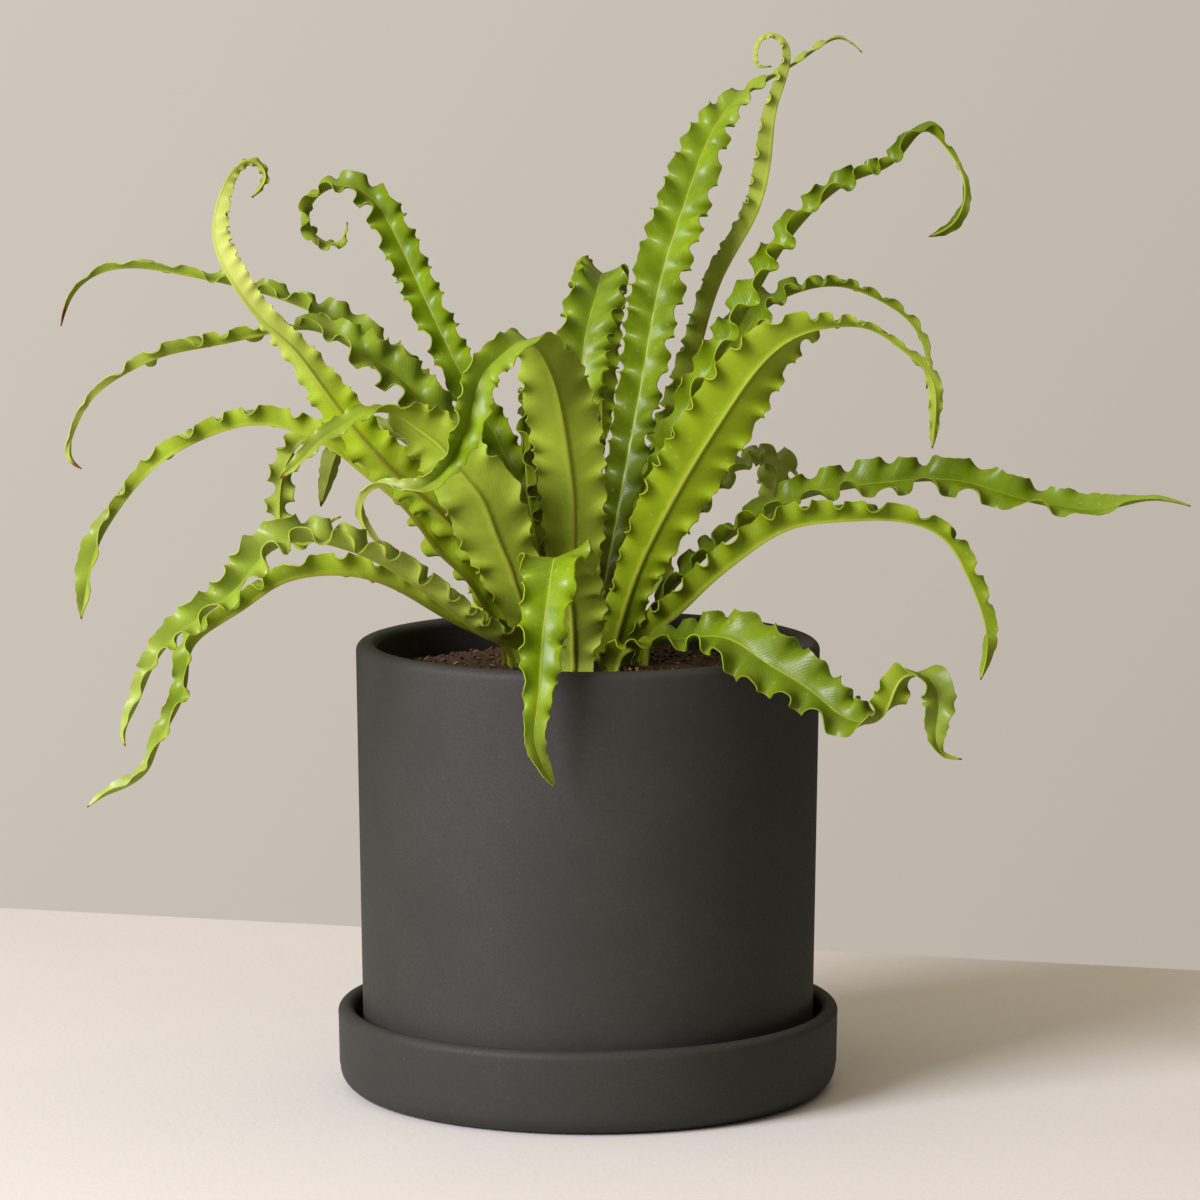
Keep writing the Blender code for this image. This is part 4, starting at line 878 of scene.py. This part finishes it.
class FERN_OT_saucer(bpy.types.Operator):
    """Make the thick round saucer"""

    bl_idname = "fern.saucer"
    bl_label = "Saucer"

    def execute(self, context):
        height = SAUCER_HIGH.z
        inner = SAUCER_RIM_RADIUS - SAUCER_WALL
        rim_z = height - SAUCER_RIM_ROUND
        base = SAUCER_RIM_RADIUS - SAUCER_BASE_IN - SAUCER_BASE_ROUND
        ring_under, ring_inside = SAUCER_MIDDLE_RINGS
        profile = [(0, 0), (ring_under * base, 0), (base - SAUCER_BASE_RING, 0)]
        profile += arc(base, SAUCER_BASE_ROUND, SAUCER_BASE_ROUND, -90, 0)
        profile += [(SAUCER_RIM_RADIUS - SAUCER_FOOT_IN, SAUCER_BASE_ROUND + WALL_RING)]
        profile += [(SAUCER_RIM_RADIUS - SAUCER_NECK_IN, rim_z - WALL_RING)]
        profile += arc(SAUCER_RIM_RADIUS - SAUCER_RIM_ROUND, rim_z, SAUCER_RIM_ROUND, 0, 90)
        profile += arc(inner + SAUCER_RIM_ROUND, rim_z, SAUCER_RIM_ROUND, 90, 180)
        bend_x, bend_z = inner - SAUCER_INNER_ROUND, SAUCER_FLOOR + SAUCER_INNER_ROUND
        profile += [(inner, rim_z - WALL_RING), (inner, bend_z + WALL_RING)]
        profile += arc(bend_x, bend_z, SAUCER_INNER_ROUND, 0, -90)
        profile += [(bend_x - FLAT_RING, SAUCER_FLOOR), (ring_inside * inner, SAUCER_FLOOR)]
        profile += [(0, SAUCER_FLOOR)]
        saucer = turned("saucer_glazed", profile)
        finish_piece(saucer, "saucer", [ceramic_material()])
        return {"FINISHED"}


class FERN_OT_pot(bpy.types.Operator):
    """Make the cylinder pot with its rounded rim and drain hole"""

    bl_idname = "fern.pot"
    bl_label = "Pot"

    def execute(self, context):
        bottom, top = POT_LOW.z, POT_HIGH.z
        rim_z = top - POT_RIM_ROUND
        base_radius = POT_RIM_RADIUS - POT_BASE_IN
        foot_x = base_radius - POT_BASE_ROUND
        floor_top = bottom + POT_FLOOR
        inner_foot = base_radius - POT_WALL
        inner_rim = POT_RIM_RADIUS - POT_WALL
        profile = [(DRAIN_RADIUS, bottom), (foot_x - FLAT_RING, bottom)]
        profile += arc(foot_x, bottom + POT_BASE_ROUND, POT_BASE_ROUND, -90, 0)
        for share in POT_RINGS:
            height = bottom + POT_BASE_ROUND + share * (rim_z - bottom - POT_BASE_ROUND)
            profile.append((base_radius + share * POT_BASE_IN, height))
        profile += arc(POT_RIM_RADIUS - POT_RIM_ROUND, rim_z, POT_RIM_ROUND, 0, 90)
        profile += arc(inner_rim + POT_RIM_ROUND, rim_z, POT_RIM_ROUND, 90, 180)
        profile += [(inner_rim, rim_z - POT_RIM_ROUND), (inner_foot, floor_top + POT_CORNER)]
        profile += [(inner_foot - POT_CORNER, floor_top), (DRAIN_RADIUS, floor_top)]
        pot = turned("pot_glazed", profile)
        finish_piece(pot, "pot", [ceramic_material()])
        return {"FINISHED"}


def modelled_bit(subdivisions, squash, rng):
    """Model one rough bit of bark or grit about the origin, and give its points and faces."""
    start_piece()
    bpy.ops.mesh.primitive_ico_sphere_add(subdivisions=subdivisions, radius=1)
    bit = bpy.context.object
    for vertex in bit.data.vertices:
        vertex.co *= rng.uniform(*BIT_DENTS)
    bpy.ops.object.mode_set(mode="EDIT")
    bpy.ops.mesh.select_all(action="SELECT")
    bpy.ops.transform.resize(value=(1, squash[0], squash[1]))
    bpy.ops.object.mode_set(mode="OBJECT")
    points = np.array([vertex.co for vertex in bit.data.vertices])
    faces = [tuple(face.vertices) for face in bit.data.polygons]
    bpy.data.objects.remove(bit, do_unlink=True)
    return points, faces


def turned_at_random(rng, tilt):
    """A turn about +Z by any angle, after a tilt of up to so many radians, as a matrix."""
    a, b, c = rng.uniform(0, 2 * math.pi), rng.uniform(-tilt, tilt), rng.uniform(-tilt, tilt)
    about_z = np.array([[math.cos(a), -math.sin(a), 0], [math.sin(a), math.cos(a), 0], [0, 0, 1]])
    about_y = np.array([[math.cos(b), 0, math.sin(b)], [0, 1, 0], [-math.sin(b), 0, math.cos(b)]])
    about_x = np.array([[1, 0, 0], [0, math.cos(c), -math.sin(c)], [0, math.sin(c), math.cos(c)]])
    return about_z @ about_y @ about_x


def joined_bits(name, placed, base):
    """Join copies of the bits and the piece that they lie on into one mesh, each with its own tone."""
    points = [np.array([vertex.co for vertex in base.data.vertices])]
    faces = [tuple(face.vertices) for face in base.data.polygons]
    tones = [np.full(len(points[0]), GROUND_TONE)]
    count = len(points[0])
    for bit_points, bit_faces, tone in placed:
        points.append(bit_points)
        faces += [tuple(index + count for index in face) for face in bit_faces]
        tones.append(np.full(len(bit_points), tone))
        count += len(bit_points)
    mesh = bpy.data.meshes.new(name)
    mesh.from_pydata(np.concatenate(points).tolist(), [], faces)
    tone = mesh.attributes.new("bit", "FLOAT", "POINT")
    tone.data.foreach_set("value", np.concatenate(tones).astype(np.float32))
    piece = bpy.data.objects.new(name, mesh)
    bpy.context.scene.collection.objects.link(piece)
    bpy.data.objects.remove(base, do_unlink=True)
    return piece


def soil_top(x, y):
    """Height of the soil's surface: a low mound with lumps."""
    share = min(1, math.hypot(x, y) / SOIL_RADIUS)
    mound = SOIL_HIGH.z - MOUND_SPARE - MOUND_FALL * share ** 2
    broad, small = LUMP_SIZES
    lumps = noise.noise(Vector((x, y, 0)) / broad) + SMALL_LUMPS * noise.noise(Vector((x, y, 0.1)) / small)
    return mound + LUMP_HEIGHT * lumps


class FERN_OT_soil(bpy.types.Operator):
    """Make the mound of coarse potting mix"""

    bl_idname = "fern.soil"
    bl_label = "Soil"

    def execute(self, context):
        rng = random.Random(11)
        bottom = SOIL_LOW.z
        narrow = SOIL_RADIUS - POT_BASE_IN
        rings = [(0, bottom), (narrow, bottom), (SOIL_RADIUS, SOIL_EDGE_TOP)]
        rings += [(SOIL_RADIUS * share, SOIL_EDGE_TOP) for share in MOUND_RINGS]
        rings += [(0, SOIL_EDGE_TOP)]
        mound = turned("soil_mound", rings)
        for vertex in mound.data.vertices:
            if vertex.co.z > SOIL_EDGE_TOP - LEVEL_SLACK:
                vertex.co.z = soil_top(vertex.co.x, vertex.co.y)
        shapes = []
        for count, levels, squash in BIT_KINDS:
            shapes += [modelled_bit(levels, squash, rng) for _ in range(count)]
        placed = []
        for _ in range(context.scene.fern_pot.bits):
            points, faces = rng.choice(shapes)
            size = BIT_SMALLEST + BIT_SPREAD * rng.random() ** BIT_CROWDING
            bearing = rng.uniform(0, 2 * math.pi)
            away = (SOIL_RADIUS - BIT_REACH * size - SOIL_MARGIN) * math.sqrt(rng.random())
            x, y = away * math.cos(bearing), away * math.sin(bearing)
            points = points @ turned_at_random(rng, BIT_TILT).T * size
            points = points + np.array([x, y, soil_top(x, y) + rng.uniform(*BIT_RISE) * size])
            placed.append((points, faces, rng.random()))
        soil = joined_bits("potting_mix", placed, mound)
        finish_piece(soil, "soil", [soil_material()])
        return {"FINISHED"}


def modelled_scale(rng):
    """Model one pointed, curved scale that stands up along +Z, and give its points and faces."""
    start_piece()
    bpy.ops.mesh.primitive_cone_add(vertices=5, radius1=0.5, radius2=0.42, depth=1)
    scale = bpy.context.object
    for vertex in scale.data.vertices:
        place = vertex.co.z + 0.5
        if place > 0.9:
            vertex.co.x *= SCALE_TIP
        vertex.co.y = vertex.co.y * SCALE_FLAT + SCALE_BOW * place ** 2
        vertex.co.z += 0.5 + rng.uniform(-SCALE_UNEVEN, SCALE_UNEVEN)
    points = np.array([vertex.co for vertex in scale.data.vertices])
    faces = [tuple(face.vertices) for face in scale.data.polygons]
    bpy.data.objects.remove(scale, do_unlink=True)
    return points, faces


def crown_top(x, y):
    """Height of the crown's rough top, lower to its edge."""
    share = min(1, math.hypot(x - CROWN_X, y - CROWN_Y) / CROWN_RADIUS)
    rough = noise.noise(Vector((x, y, 0.4)) / CROWN_ROUGH_SIZE)
    return CROWN_HIGH.z - CROWN_SPARE - CROWN_DROP * share ** 4 + CROWN_ROUGH * rough


class FERN_OT_crown(bpy.types.Operator):
    """Make the scaly crown that the fronds grow from"""

    bl_idname = "fern.crown"
    bl_label = "Crown"

    def execute(self, context):
        rng = random.Random(23)
        edge_z = CROWN_HIGH.z - CROWN_DROP
        rings = [(0, CROWN_LOW.z), (CROWN_RADIUS, CROWN_LOW.z), (CROWN_RADIUS, edge_z)]
        rings += [(CROWN_RADIUS * share, edge_z) for share in CROWN_RINGS] + [(0, edge_z)]
        stump = turned("crown_stump", rings)
        for vertex in stump.data.vertices:
            vertex.co.x += CROWN_X
            vertex.co.y += CROWN_Y
            if vertex.co.z > edge_z - LEVEL_SLACK:
                vertex.co.z = crown_top(vertex.co.x, vertex.co.y)
        shapes = [modelled_scale(rng) for _ in range(SCALE_KINDS)]
        placed = []
        for _ in range(SCALE_COUNT):
            points, faces = rng.choice(shapes)
            length = rng.uniform(*SCALE_LENGTHS) * MM
            bearing = rng.uniform(0, 2 * math.pi)
            away = (CROWN_RADIUS - CROWN_MARGIN) * math.sqrt(rng.random())
            x = CROWN_X + away * math.cos(bearing)
            y = CROWN_Y + away * math.sin(bearing)
            slim = points * np.array([SCALE_SLENDER, SCALE_SLENDER, 1])
            points = slim @ turned_at_random(rng, SCALE_TILT).T * length
            points = points + np.array([x, y, crown_top(x, y) - SCALE_SUNK])
            placed.append((points, faces, rng.random()))
        crown = joined_bits("crown_scales", placed, stump)
        finish_piece(crown, "crown", [crown_material()])
        return {"FINISHED"}


def socket_place(frond):
    """Where a frond's stalk stands in the crown, in mm."""
    turn = math.radians(frond.bearing)
    x = CROWN_X / MM + frond.ring * math.cos(turn)
    y = CROWN_Y / MM + frond.ring * math.sin(turn)
    return x, y


def smooth_through(knots, values, places):
    """Read a natural cubic curve through the values at the knots, at other places."""
    step = np.diff(knots)
    slope = np.diff(values, axis=0) / step[:, None]
    count = len(knots)
    matrix = np.eye(count)
    right = np.zeros_like(values)
    for i in range(1, count - 1):
        matrix[i, i - 1:i + 2] = step[i - 1], 2 * (step[i - 1] + step[i]), step[i]
        right[i] = 6 * (slope[i] - slope[i - 1])
    bend = np.linalg.solve(matrix, right)
    left = np.clip(np.searchsorted(knots, places) - 1, 0, count - 2)
    span = step[left][:, None]
    before = (places - knots[left])[:, None]
    after = (knots[left + 1] - places)[:, None]
    cubic = (bend[left] * after ** 3 + bend[left + 1] * before ** 3) / (6 * span)
    start = (values[left] / span - bend[left] * span / 6) * after
    end = (values[left + 1] / span - bend[left + 1] * span / 6) * before
    return cubic + start + end


def unit(vectors):
    """The vectors at length 1."""
    return vectors / np.linalg.norm(vectors, axis=-1, keepdims=True)


def rolled(sides, faces, angle):
    """Roll a blade about its midrib: where its sides and its upper face then look."""
    return sides * np.cos(angle) + faces * np.sin(angle), faces * np.cos(angle) - sides * np.sin(angle)


def midrib_of(frond, row_step):
    """A frond's midrib in even rows: distances, points, half widths, headings, sides and faces, in mm."""
    x, y = socket_place(frond)
    twist = frond.midrib[0][4]
    foot_z = SOCKET_FLOOR + GAP
    foot = [(x, y, foot_z, STALK_WIDTH, twist), (x, y, foot_z + STALK_STRAIGHT, STALK_WIDTH, twist)]
    route = np.array(foot + list(frond.midrib), float)
    chords = np.linalg.norm(np.diff(route[:, :3], axis=0), axis=1)
    knots = np.concatenate([[0], np.cumsum(chords ** 0.75)])
    fine = smooth_through(knots, route, np.linspace(0, knots[-1], FINE_STEPS))
    along = np.concatenate([[0], np.cumsum(np.linalg.norm(np.diff(fine[:, :3], axis=0), axis=1))])
    even = np.linspace(0, along[-1], int(along[-1] / row_step) + 1)
    fine = np.stack([np.interp(even, along, column) for column in fine.T], axis=1)
    heading = unit(np.gradient(fine[:, :3], axis=0))
    turn = math.radians(frond.bearing)
    side = np.array([-math.sin(turn), math.cos(turn), 0])
    sides = np.empty_like(heading)
    for i, ahead in enumerate(heading):
        side = unit(side - side.dot(ahead) * ahead)
        sides[i] = side
    faces = np.cross(heading, sides)
    sides, faces = rolled(sides, faces, np.radians(fine[:, 4])[:, None])
    half_width = np.maximum(fine[:, 3], LEAST_WIDTH) / 2
    return even, fine[:, :3], half_width, heading, sides, faces


def wandering(rng, places, lengths):
    """A slow wander between about -1 and 1, made of a few waves of the given lengths."""
    waves = [np.sin(2 * math.pi * (places / length + rng.random())) for length in lengths]
    return sum(waves) / len(waves)


def edge_waves(rng, even, half_width, look, settings):
    """One edge's ruffle at each row: its phase, its height and its wave length, in mm."""
    share = half_width / half_width.max()
    place = even / even[-1]
    length = settings.wave_length / MM * (NARROW_WAVE + (1 - NARROW_WAVE) * share)
    length = length * np.interp(place, STOPS, look.length)
    length = length * (1 + LENGTH_VARIES * wandering(rng, even, LENGTH_WANDER))
    phase = np.concatenate([[0], np.cumsum(np.diff(even) / length[1:])]) * 2 * math.pi
    phase += 2 * math.pi * rng.random()
    rise = np.clip((place - PLAIN_START * PLAIN_FOOT) / PLAIN_FOOT, 0, 1)
    fall = np.clip((1 - place) / PLAIN_TIP - 1, 0, 1)
    height = np.minimum(settings.wave_height * half_width + LEAST_WAVE, HIGHEST_WAVE) * rise * fall
    height = height * np.interp(place, STOPS, look.height)
    height = height * (1 + HEIGHT_VARIES * wandering(rng, even, HEIGHT_WANDER))
    return phase, height, length


def half_widths(frond, place, middle, half_width):
    """Half the blade's width at each row: rounded off at its tip, and wide enough at its foot."""
    half_width = half_width * np.clip((1 - place) * TIP_ROUND, TIP_BLUNT, 1) ** 0.5
    foot = np.interp(middle[:, 2] - SOCKET_FLOOR, FOOT_HEIGHTS, FOOT_HALF_WIDTHS) * (place < FOOT_SHARE)
    foot *= np.interp(socket_place(frond)[1] - CROWN_Y / MM, HIDDEN_RANGE, (1, HIDDEN_FOOT))
    return np.maximum(half_width, foot)


def ruffled_half(rng, blade, sign, look, settings):
    """One half of a blade, row by row from the midrib out: its points, and their share of the way out."""
    phase, height, length = edge_waves(rng, blade.even, blade.half_width, look, settings)
    half_width = blade.half_width[:, None]
    share = blade.from_rib / half_width
    grown = share ** look.depth
    behind = blade.even[:, None] - WAVE_LEAN * blade.from_rib
    turn = np.interp(behind, blade.even, phase)
    turn = turn + rng.uniform(*CREST_BROAD) * np.cos(turn)
    lift = np.interp(behind, blade.even, height) * grown * np.sin(turn)

    # The higher a wave, the more it draws the edge in, so that the blade isn't stretched
    ragged = EDGE_RAGGED * share ** 6 * wandering(rng, blade.even, RAGGED_WANDER)[:, None]
    reach = blade.from_rib - DRAWN_IN * lift ** 2 / (0.4 * half_width + 1)
    reach = reach * (1 - CREST_DENT * grown * np.maximum(0, np.sin(turn)) ** 3)
    reach = reach * (1 - TROUGH_DENT * grown * np.maximum(0, -np.sin(turn)) ** 3)
    reach = reach + ragged * np.minimum(1, half_width / RAGGED_WIDTH)

    # The lobes overhang: their points slip along the blade, each to its own side
    curl = CURL + CURL_VARIES * wandering(rng, blade.even, CURL_WANDER)
    curl = curl * np.clip(height / (CURL_FULL * length), 0, 1)
    slip = -curl[:, None] * length[:, None] * grown * np.sin(2 * turn)
    lift = lift + BULGE * half_width * share * (1 - share)
    outward = sign * np.cos(blade.fold) * blade.sides + np.sin(blade.fold) * blade.faces
    upward = np.cos(blade.fold) * blade.faces - sign * np.sin(blade.fold) * blade.sides
    points = blade.middle[:, None] + reach[..., None] * outward[:, None] + lift[..., None] * upward[:, None]
    points = points + slip[..., None] * blade.heading[:, None]
    return points - RIB_SINK * blade.swell[..., None] * blade.faces[:, None], share


def both_halves(left, right):
    """Lay the two halves of a blade side by side, with the midrib's own column once."""
    return np.concatenate([left[:, :0:-1], right], axis=1)


def frond_rows(frond, look, settings):
    """Lay a frond out in rows across its midrib: points, thickness, and what its colours follow."""
    rng = random.Random(frond.name)
    even, middle, half_width, heading, sides, faces = midrib_of(frond, settings.row_step / MM)
    place = even / even[-1]

    # The sway sets in a tenth up the frond and is full at about a third
    leaving = np.clip(4 * place - 0.4, 0, 1)
    sway = np.radians(look.sway * wandering(rng, even, SWAY_WANDER) * leaving)[:, None]
    sides, faces = rolled(sides, faces, sway)
    half_width = half_widths(frond, place, middle, half_width)
    rib = np.minimum(RIB_TIP + RIB_GROWTH * (1 - place) ** 1.2, 0.5 * half_width)[:, None]
    beside = rib + (half_width[:, None] - rib) * BLADE_COLUMNS
    from_rib = np.concatenate([rib * RIB_COLUMNS, beside], axis=1)
    blade_thick, rib_thick = settings.blade_thick / MM, settings.rib_thick / MM
    swell = (rib_thick - blade_thick) * (1 - place[:, None]) ** 0.9 * RIB_SWELL
    fold = np.radians(frond.fold + np.interp(place, STOPS, look.close))[:, None]
    blade = Blade(even, middle, half_width, heading, sides, faces, from_rib, swell, fold)
    left_points, left_share = ruffled_half(rng, blade, -1, look, settings)
    right_points, right_share = ruffled_half(rng, blade, 1, look, settings)
    points = both_halves(left_points, right_points)
    share = both_halves(left_share, right_share)

    # The blade thins from two fifths up the frond to its tip
    thinned = np.clip(1.2 - 0.5 * place, 0, 1)
    thick = blade_thick * (1 - EDGE_THIN * share) * thinned[:, None]
    thick = thick + both_halves(swell, swell)
    across = both_halves(-from_rib, from_rib)
    rib_mask = both_halves(RIB_SWELL[None, :], RIB_SWELL[None, :]) * np.ones_like(share)
    return points, thick, across, even, share, rib_mask


def painted(mesh, name, red, green, blue, alpha):
    """Store four numbers a point as a colour attribute."""
    layer = mesh.color_attributes.new(name, "FLOAT_COLOR", "POINT")
    values = np.stack([red, green, blue, np.full_like(red, alpha)], axis=1)
    layer.data.foreach_set("color", values.astype(np.float32).ravel())


def shaped_grid(name, points):
    """Model a grid and move its points to the given rows. It gives the row and column of each point too."""
    rows, columns = points.shape[:2]
    start_piece()
    bpy.ops.mesh.primitive_grid_add(x_subdivisions=columns - 1, y_subdivisions=rows - 1, size=2)
    piece = bpy.context.object
    piece.name = name
    piece.data.name = name
    flat = np.empty(len(piece.data.vertices) * 3)
    piece.data.vertices.foreach_get("co", flat)
    flat = flat.reshape(-1, 3)
    column = columns - 1 - np.rint((flat[:, 0] + 1) / 2 * (columns - 1)).astype(int)
    row = np.rint((flat[:, 1] + 1) / 2 * (rows - 1)).astype(int)
    piece.data.vertices.foreach_set("co", (points[row, column] * MM).ravel())
    return piece, row, column


def lay_sheet(mesh, across, along):
    """Give a blade its own UV map, in metres across and along."""
    corners = np.empty(len(mesh.loops), np.int32)
    mesh.loops.foreach_get("vertex_index", corners)
    sheet = np.stack([across, along], axis=1)[corners] * MM
    mesh.uv_layers[0].name = "blade"
    mesh.uv_layers[0].data.foreach_set("uv", sheet.ravel())


def add_thickness(piece, thick):
    """Add the modifier that makes a sheet thick, by the point, with its second material underneath."""
    thickest = thick.max()
    group = piece.vertex_groups.new(name="thickness")
    weights = np.round(thick / thickest, WEIGHT_DIGITS)
    for weight in np.unique(weights):
        group.add(np.nonzero(weights == weight)[0].tolist(), float(weight), "REPLACE")
    shell = piece.modifiers.new("Thickness", "SOLIDIFY")
    shell.thickness = thickest * MM
    shell.offset = 0
    shell.vertex_group = group.name
    shell.material_offset = 1
    shell.material_offset_rim = 1
    return shell


def make_frond(frond, settings, materials):
    """Model one frond: a grid shaped to its ruffled blade, made thick, with its midrib raised."""
    look = LOOKS.get(frond.name, Look())
    points, thick, across, even, share, rib_mask = frond_rows(frond, look, settings)
    piece, row, column = shaped_grid(frond.name.replace("frond", "leaf"), points)
    lay_sheet(piece.data, across[row, column], even[row])
    place = even[row] / even[-1]
    painted(piece.data, "lay", place, rib_mask[row, column], share[row, column], look.red)
    dry = np.clip((place - 1 + look.dry) / (DRY_FADE * look.dry), 0, 1)
    # The tint's yellow is partly painted light and its olive partly painted shade
    yellow, olive = np.interp(place, STOPS, look.yellow), np.interp(place, STOPS, look.olive)
    painted(piece.data, "tint", yellow, olive, dry, 1)
    shell = add_thickness(piece, thick[row, column])
    finish_piece(piece, frond.name, materials)
    bpy.ops.object.modifier_apply(modifier=shell.name)
    bpy.ops.object.shade_smooth_by_angle(angle=BLADE_SHARP)


class FERN_OT_fronds(bpy.types.Operator):
    """Make every frond, ruffled and ribbed"""

    bl_idname = "fern.fronds"
    bl_label = "Fronds"

    def execute(self, context):
        settings = context.scene.fern_fronds
        upper = leaf_material("frond upper face", settings.upper_deep, settings.upper_bright,
                              roughness=0.29, specular=0.22, vein_share=0.09, red_share=0)
        under = leaf_material("frond underside", settings.under_deep, settings.under_bright,
                              roughness=0.46, specular=0.12, vein_share=0.06, red_share=1)
        for frond in FRONDS:
            make_frond(frond, settings, (upper, under))
        return {"FINISHED"}


def lay_floor():
    """Lay the pale floor, whose straight back edge comes nearer on the right."""
    start_piece()
    bpy.ops.mesh.primitive_plane_add(size=2)
    floor = bpy.context.object
    floor.name = "studio_floor"
    left, right = Vector(FLOOR_EDGE_LEFT), Vector(FLOOR_EDGE_RIGHT)
    slope = (right.y - left.y) / (right.x - left.x)
    for vertex in floor.data.vertices:
        x = math.copysign(FLOOR_REACH, vertex.co.x)
        back = left.y + slope * (x - left.x)
        y = back if vertex.co.y > 0 else back - FLOOR_DEPTH
        vertex.co = (x, y, 0)
    floor.data.materials.append(floor_material())


def hang_key_light(power):
    """Hang the one square soft light, which looks at the plant from the left front."""
    around, up = math.radians(KEY_BEARING), math.radians(KEY_HEIGHT)
    from_key = Vector((math.cos(around) * math.cos(up), math.sin(around) * math.cos(up), math.sin(up)))
    light = bpy.data.lights.new("key_light", "AREA")
    light.size = KEY_SIZE
    light.energy = power
    light.color = KEY_COLOUR
    lamp = bpy.data.objects.new("key_light", light)
    lamp.location = LIGHT_TARGET + from_key * KEY_DISTANCE
    lamp.rotation_euler = (-from_key).to_track_quat("-Z", "Y").to_euler()
    lamp.visible_camera = False
    bpy.context.scene.collection.objects.link(lamp)


def fill_strength(tree, ahead, settings):
    """How strong the fill is from each direction: most from above, some from the front left and behind."""
    above = calculated(tree, "POWER", calculated(tree, "MAXIMUM", ahead["Z"], 0), 3)
    aside = times_plus(tree, ahead["X"], SIDE_FROM[0], times(tree, ahead["Y"], SIDE_FROM[1]))
    aside = calculated(tree, "MAXIMUM", times(tree, aside, -1), 0)
    above = times_plus(tree, aside, settings.side_share, above)
    above = times_plus(tree, calculated(tree, "MAXIMUM", ahead["Y"], 0), BACK_SHARE, above)
    return times_plus(tree, above, settings.fill_light, EVEN_SHARE * settings.fill_light)


def light_the_world(settings):
    """Make the world, which gives the fill light and which the camera sees as a warm backdrop, with painted
    shade that darkens it to the right and downwards.
    """
    world = bpy.data.worlds.new("studio light")
    bpy.context.scene.world = world
    world.use_nodes = True
    tree = world.node_tree
    ahead = paint(tree, "ShaderNodeTexCoord").outputs["Generated"]
    ahead = paint(tree, "ShaderNodeSeparateXYZ", {"Vector": ahead}).outputs
    # Painted shade on the backdrop: it darkens to the right and downwards
    painted_shade_share = times(tree, ranged(tree, ahead["X"], *PAINTED_SHADE_RIGHTWARDS), PAINTED_SHADE_ACROSS)
    painted_shade_share = times_plus(tree, ranged(tree, ahead["Z"], *PAINTED_SHADE_DOWNWARDS), PAINTED_SHADE_DOWN, painted_shade_share)
    painted_shade = mixed(tree, painted_shade_share, settings.backdrop_light, settings.backdrop_dark)
    backdrop = paint(tree, "ShaderNodeBackground", {"Color": painted_shade, "Strength": 1})
    glow = paint(tree, "ShaderNodeBackground", {
        "Color": (*settings.fill_colour, 1), "Strength": fill_strength(tree, ahead, settings)})
    seen = paint(tree, "ShaderNodeLightPath").outputs["Is Camera Ray"]
    both = paint(tree, "ShaderNodeMixShader", {0: seen, 1: glow.outputs[0], 2: backdrop.outputs[0]})
    tree.links.new(both.outputs[0], tree.nodes["World Output"].inputs["Surface"])


def place_camera(lens):
    """Place the camera at the photo's angle."""
    view = bpy.data.cameras.new("camera")
    view.lens = lens
    view.sensor_width = SENSOR_WIDTH
    view.clip_start = 0.01
    view.clip_end = 50
    camera = bpy.data.objects.new("camera", view)
    camera.location = CAMERA_PLACE
    camera.rotation_euler = (math.radians(CAMERA_TILT), 0, 0)
    bpy.context.scene.collection.objects.link(camera)
    bpy.context.scene.camera = camera


class FERN_OT_studio(bpy.types.Operator):
    """Make the pale floor, the soft lights and the camera"""

    bl_idname = "fern.studio"
    bl_label = "Studio"

    def execute(self, context):
        settings = context.scene.fern_studio
        lay_floor()
        hang_key_light(settings.key_power)
        light_the_world(settings)
        place_camera(settings.lens)
        context.scene.view_settings.view_transform = "Standard"
        return {"FINISHED"}


class FERN_PT_panel(bpy.types.Panel):
    """The fern's pieces and their settings"""

    bl_idname = "FERN_PT_panel"
    bl_label = "Potted fern"
    bl_space_type = "VIEW_3D"
    bl_region_type = "UI"
    bl_category = "Fern"

    def draw(self, context):
        for operator in OPERATORS:
            self.layout.operator(operator.bl_idname)
        for group in (context.scene.fern_fronds, context.scene.fern_pot, context.scene.fern_studio):
            box = self.layout.box()
            for name in group.__annotations__:
                box.prop(group, name)


OPERATORS = (FERN_OT_saucer, FERN_OT_pot, FERN_OT_soil, FERN_OT_crown, FERN_OT_fronds, FERN_OT_studio)
SETTINGS = {
    "fern_fronds": FernFrondSettings, "fern_pot": FernPotSettings, "fern_studio": FernStudioSettings}


def register():
    """Register the settings, the operators and the panel."""
    for name, group in SETTINGS.items():
        bpy.utils.register_class(group)
        setattr(bpy.types.Scene, name, PointerProperty(type=group))
    for operator in OPERATORS:
        bpy.utils.register_class(operator)
    bpy.utils.register_class(FERN_PT_panel)


def unregister():
    """Take all of it out again."""
    bpy.utils.unregister_class(FERN_PT_panel)
    for operator in reversed(OPERATORS):
        bpy.utils.unregister_class(operator)
    for name, group in SETTINGS.items():
        delattr(bpy.types.Scene, name)
        bpy.utils.unregister_class(group)


def main():
    """Dress the frame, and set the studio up."""
    register()
    bpy.ops.fern.saucer()
    bpy.ops.fern.pot()
    bpy.ops.fern.soil()
    bpy.ops.fern.crown()
    bpy.ops.fern.fronds()
    bpy.ops.fern.studio()


if __name__ == "__main__":
    main()
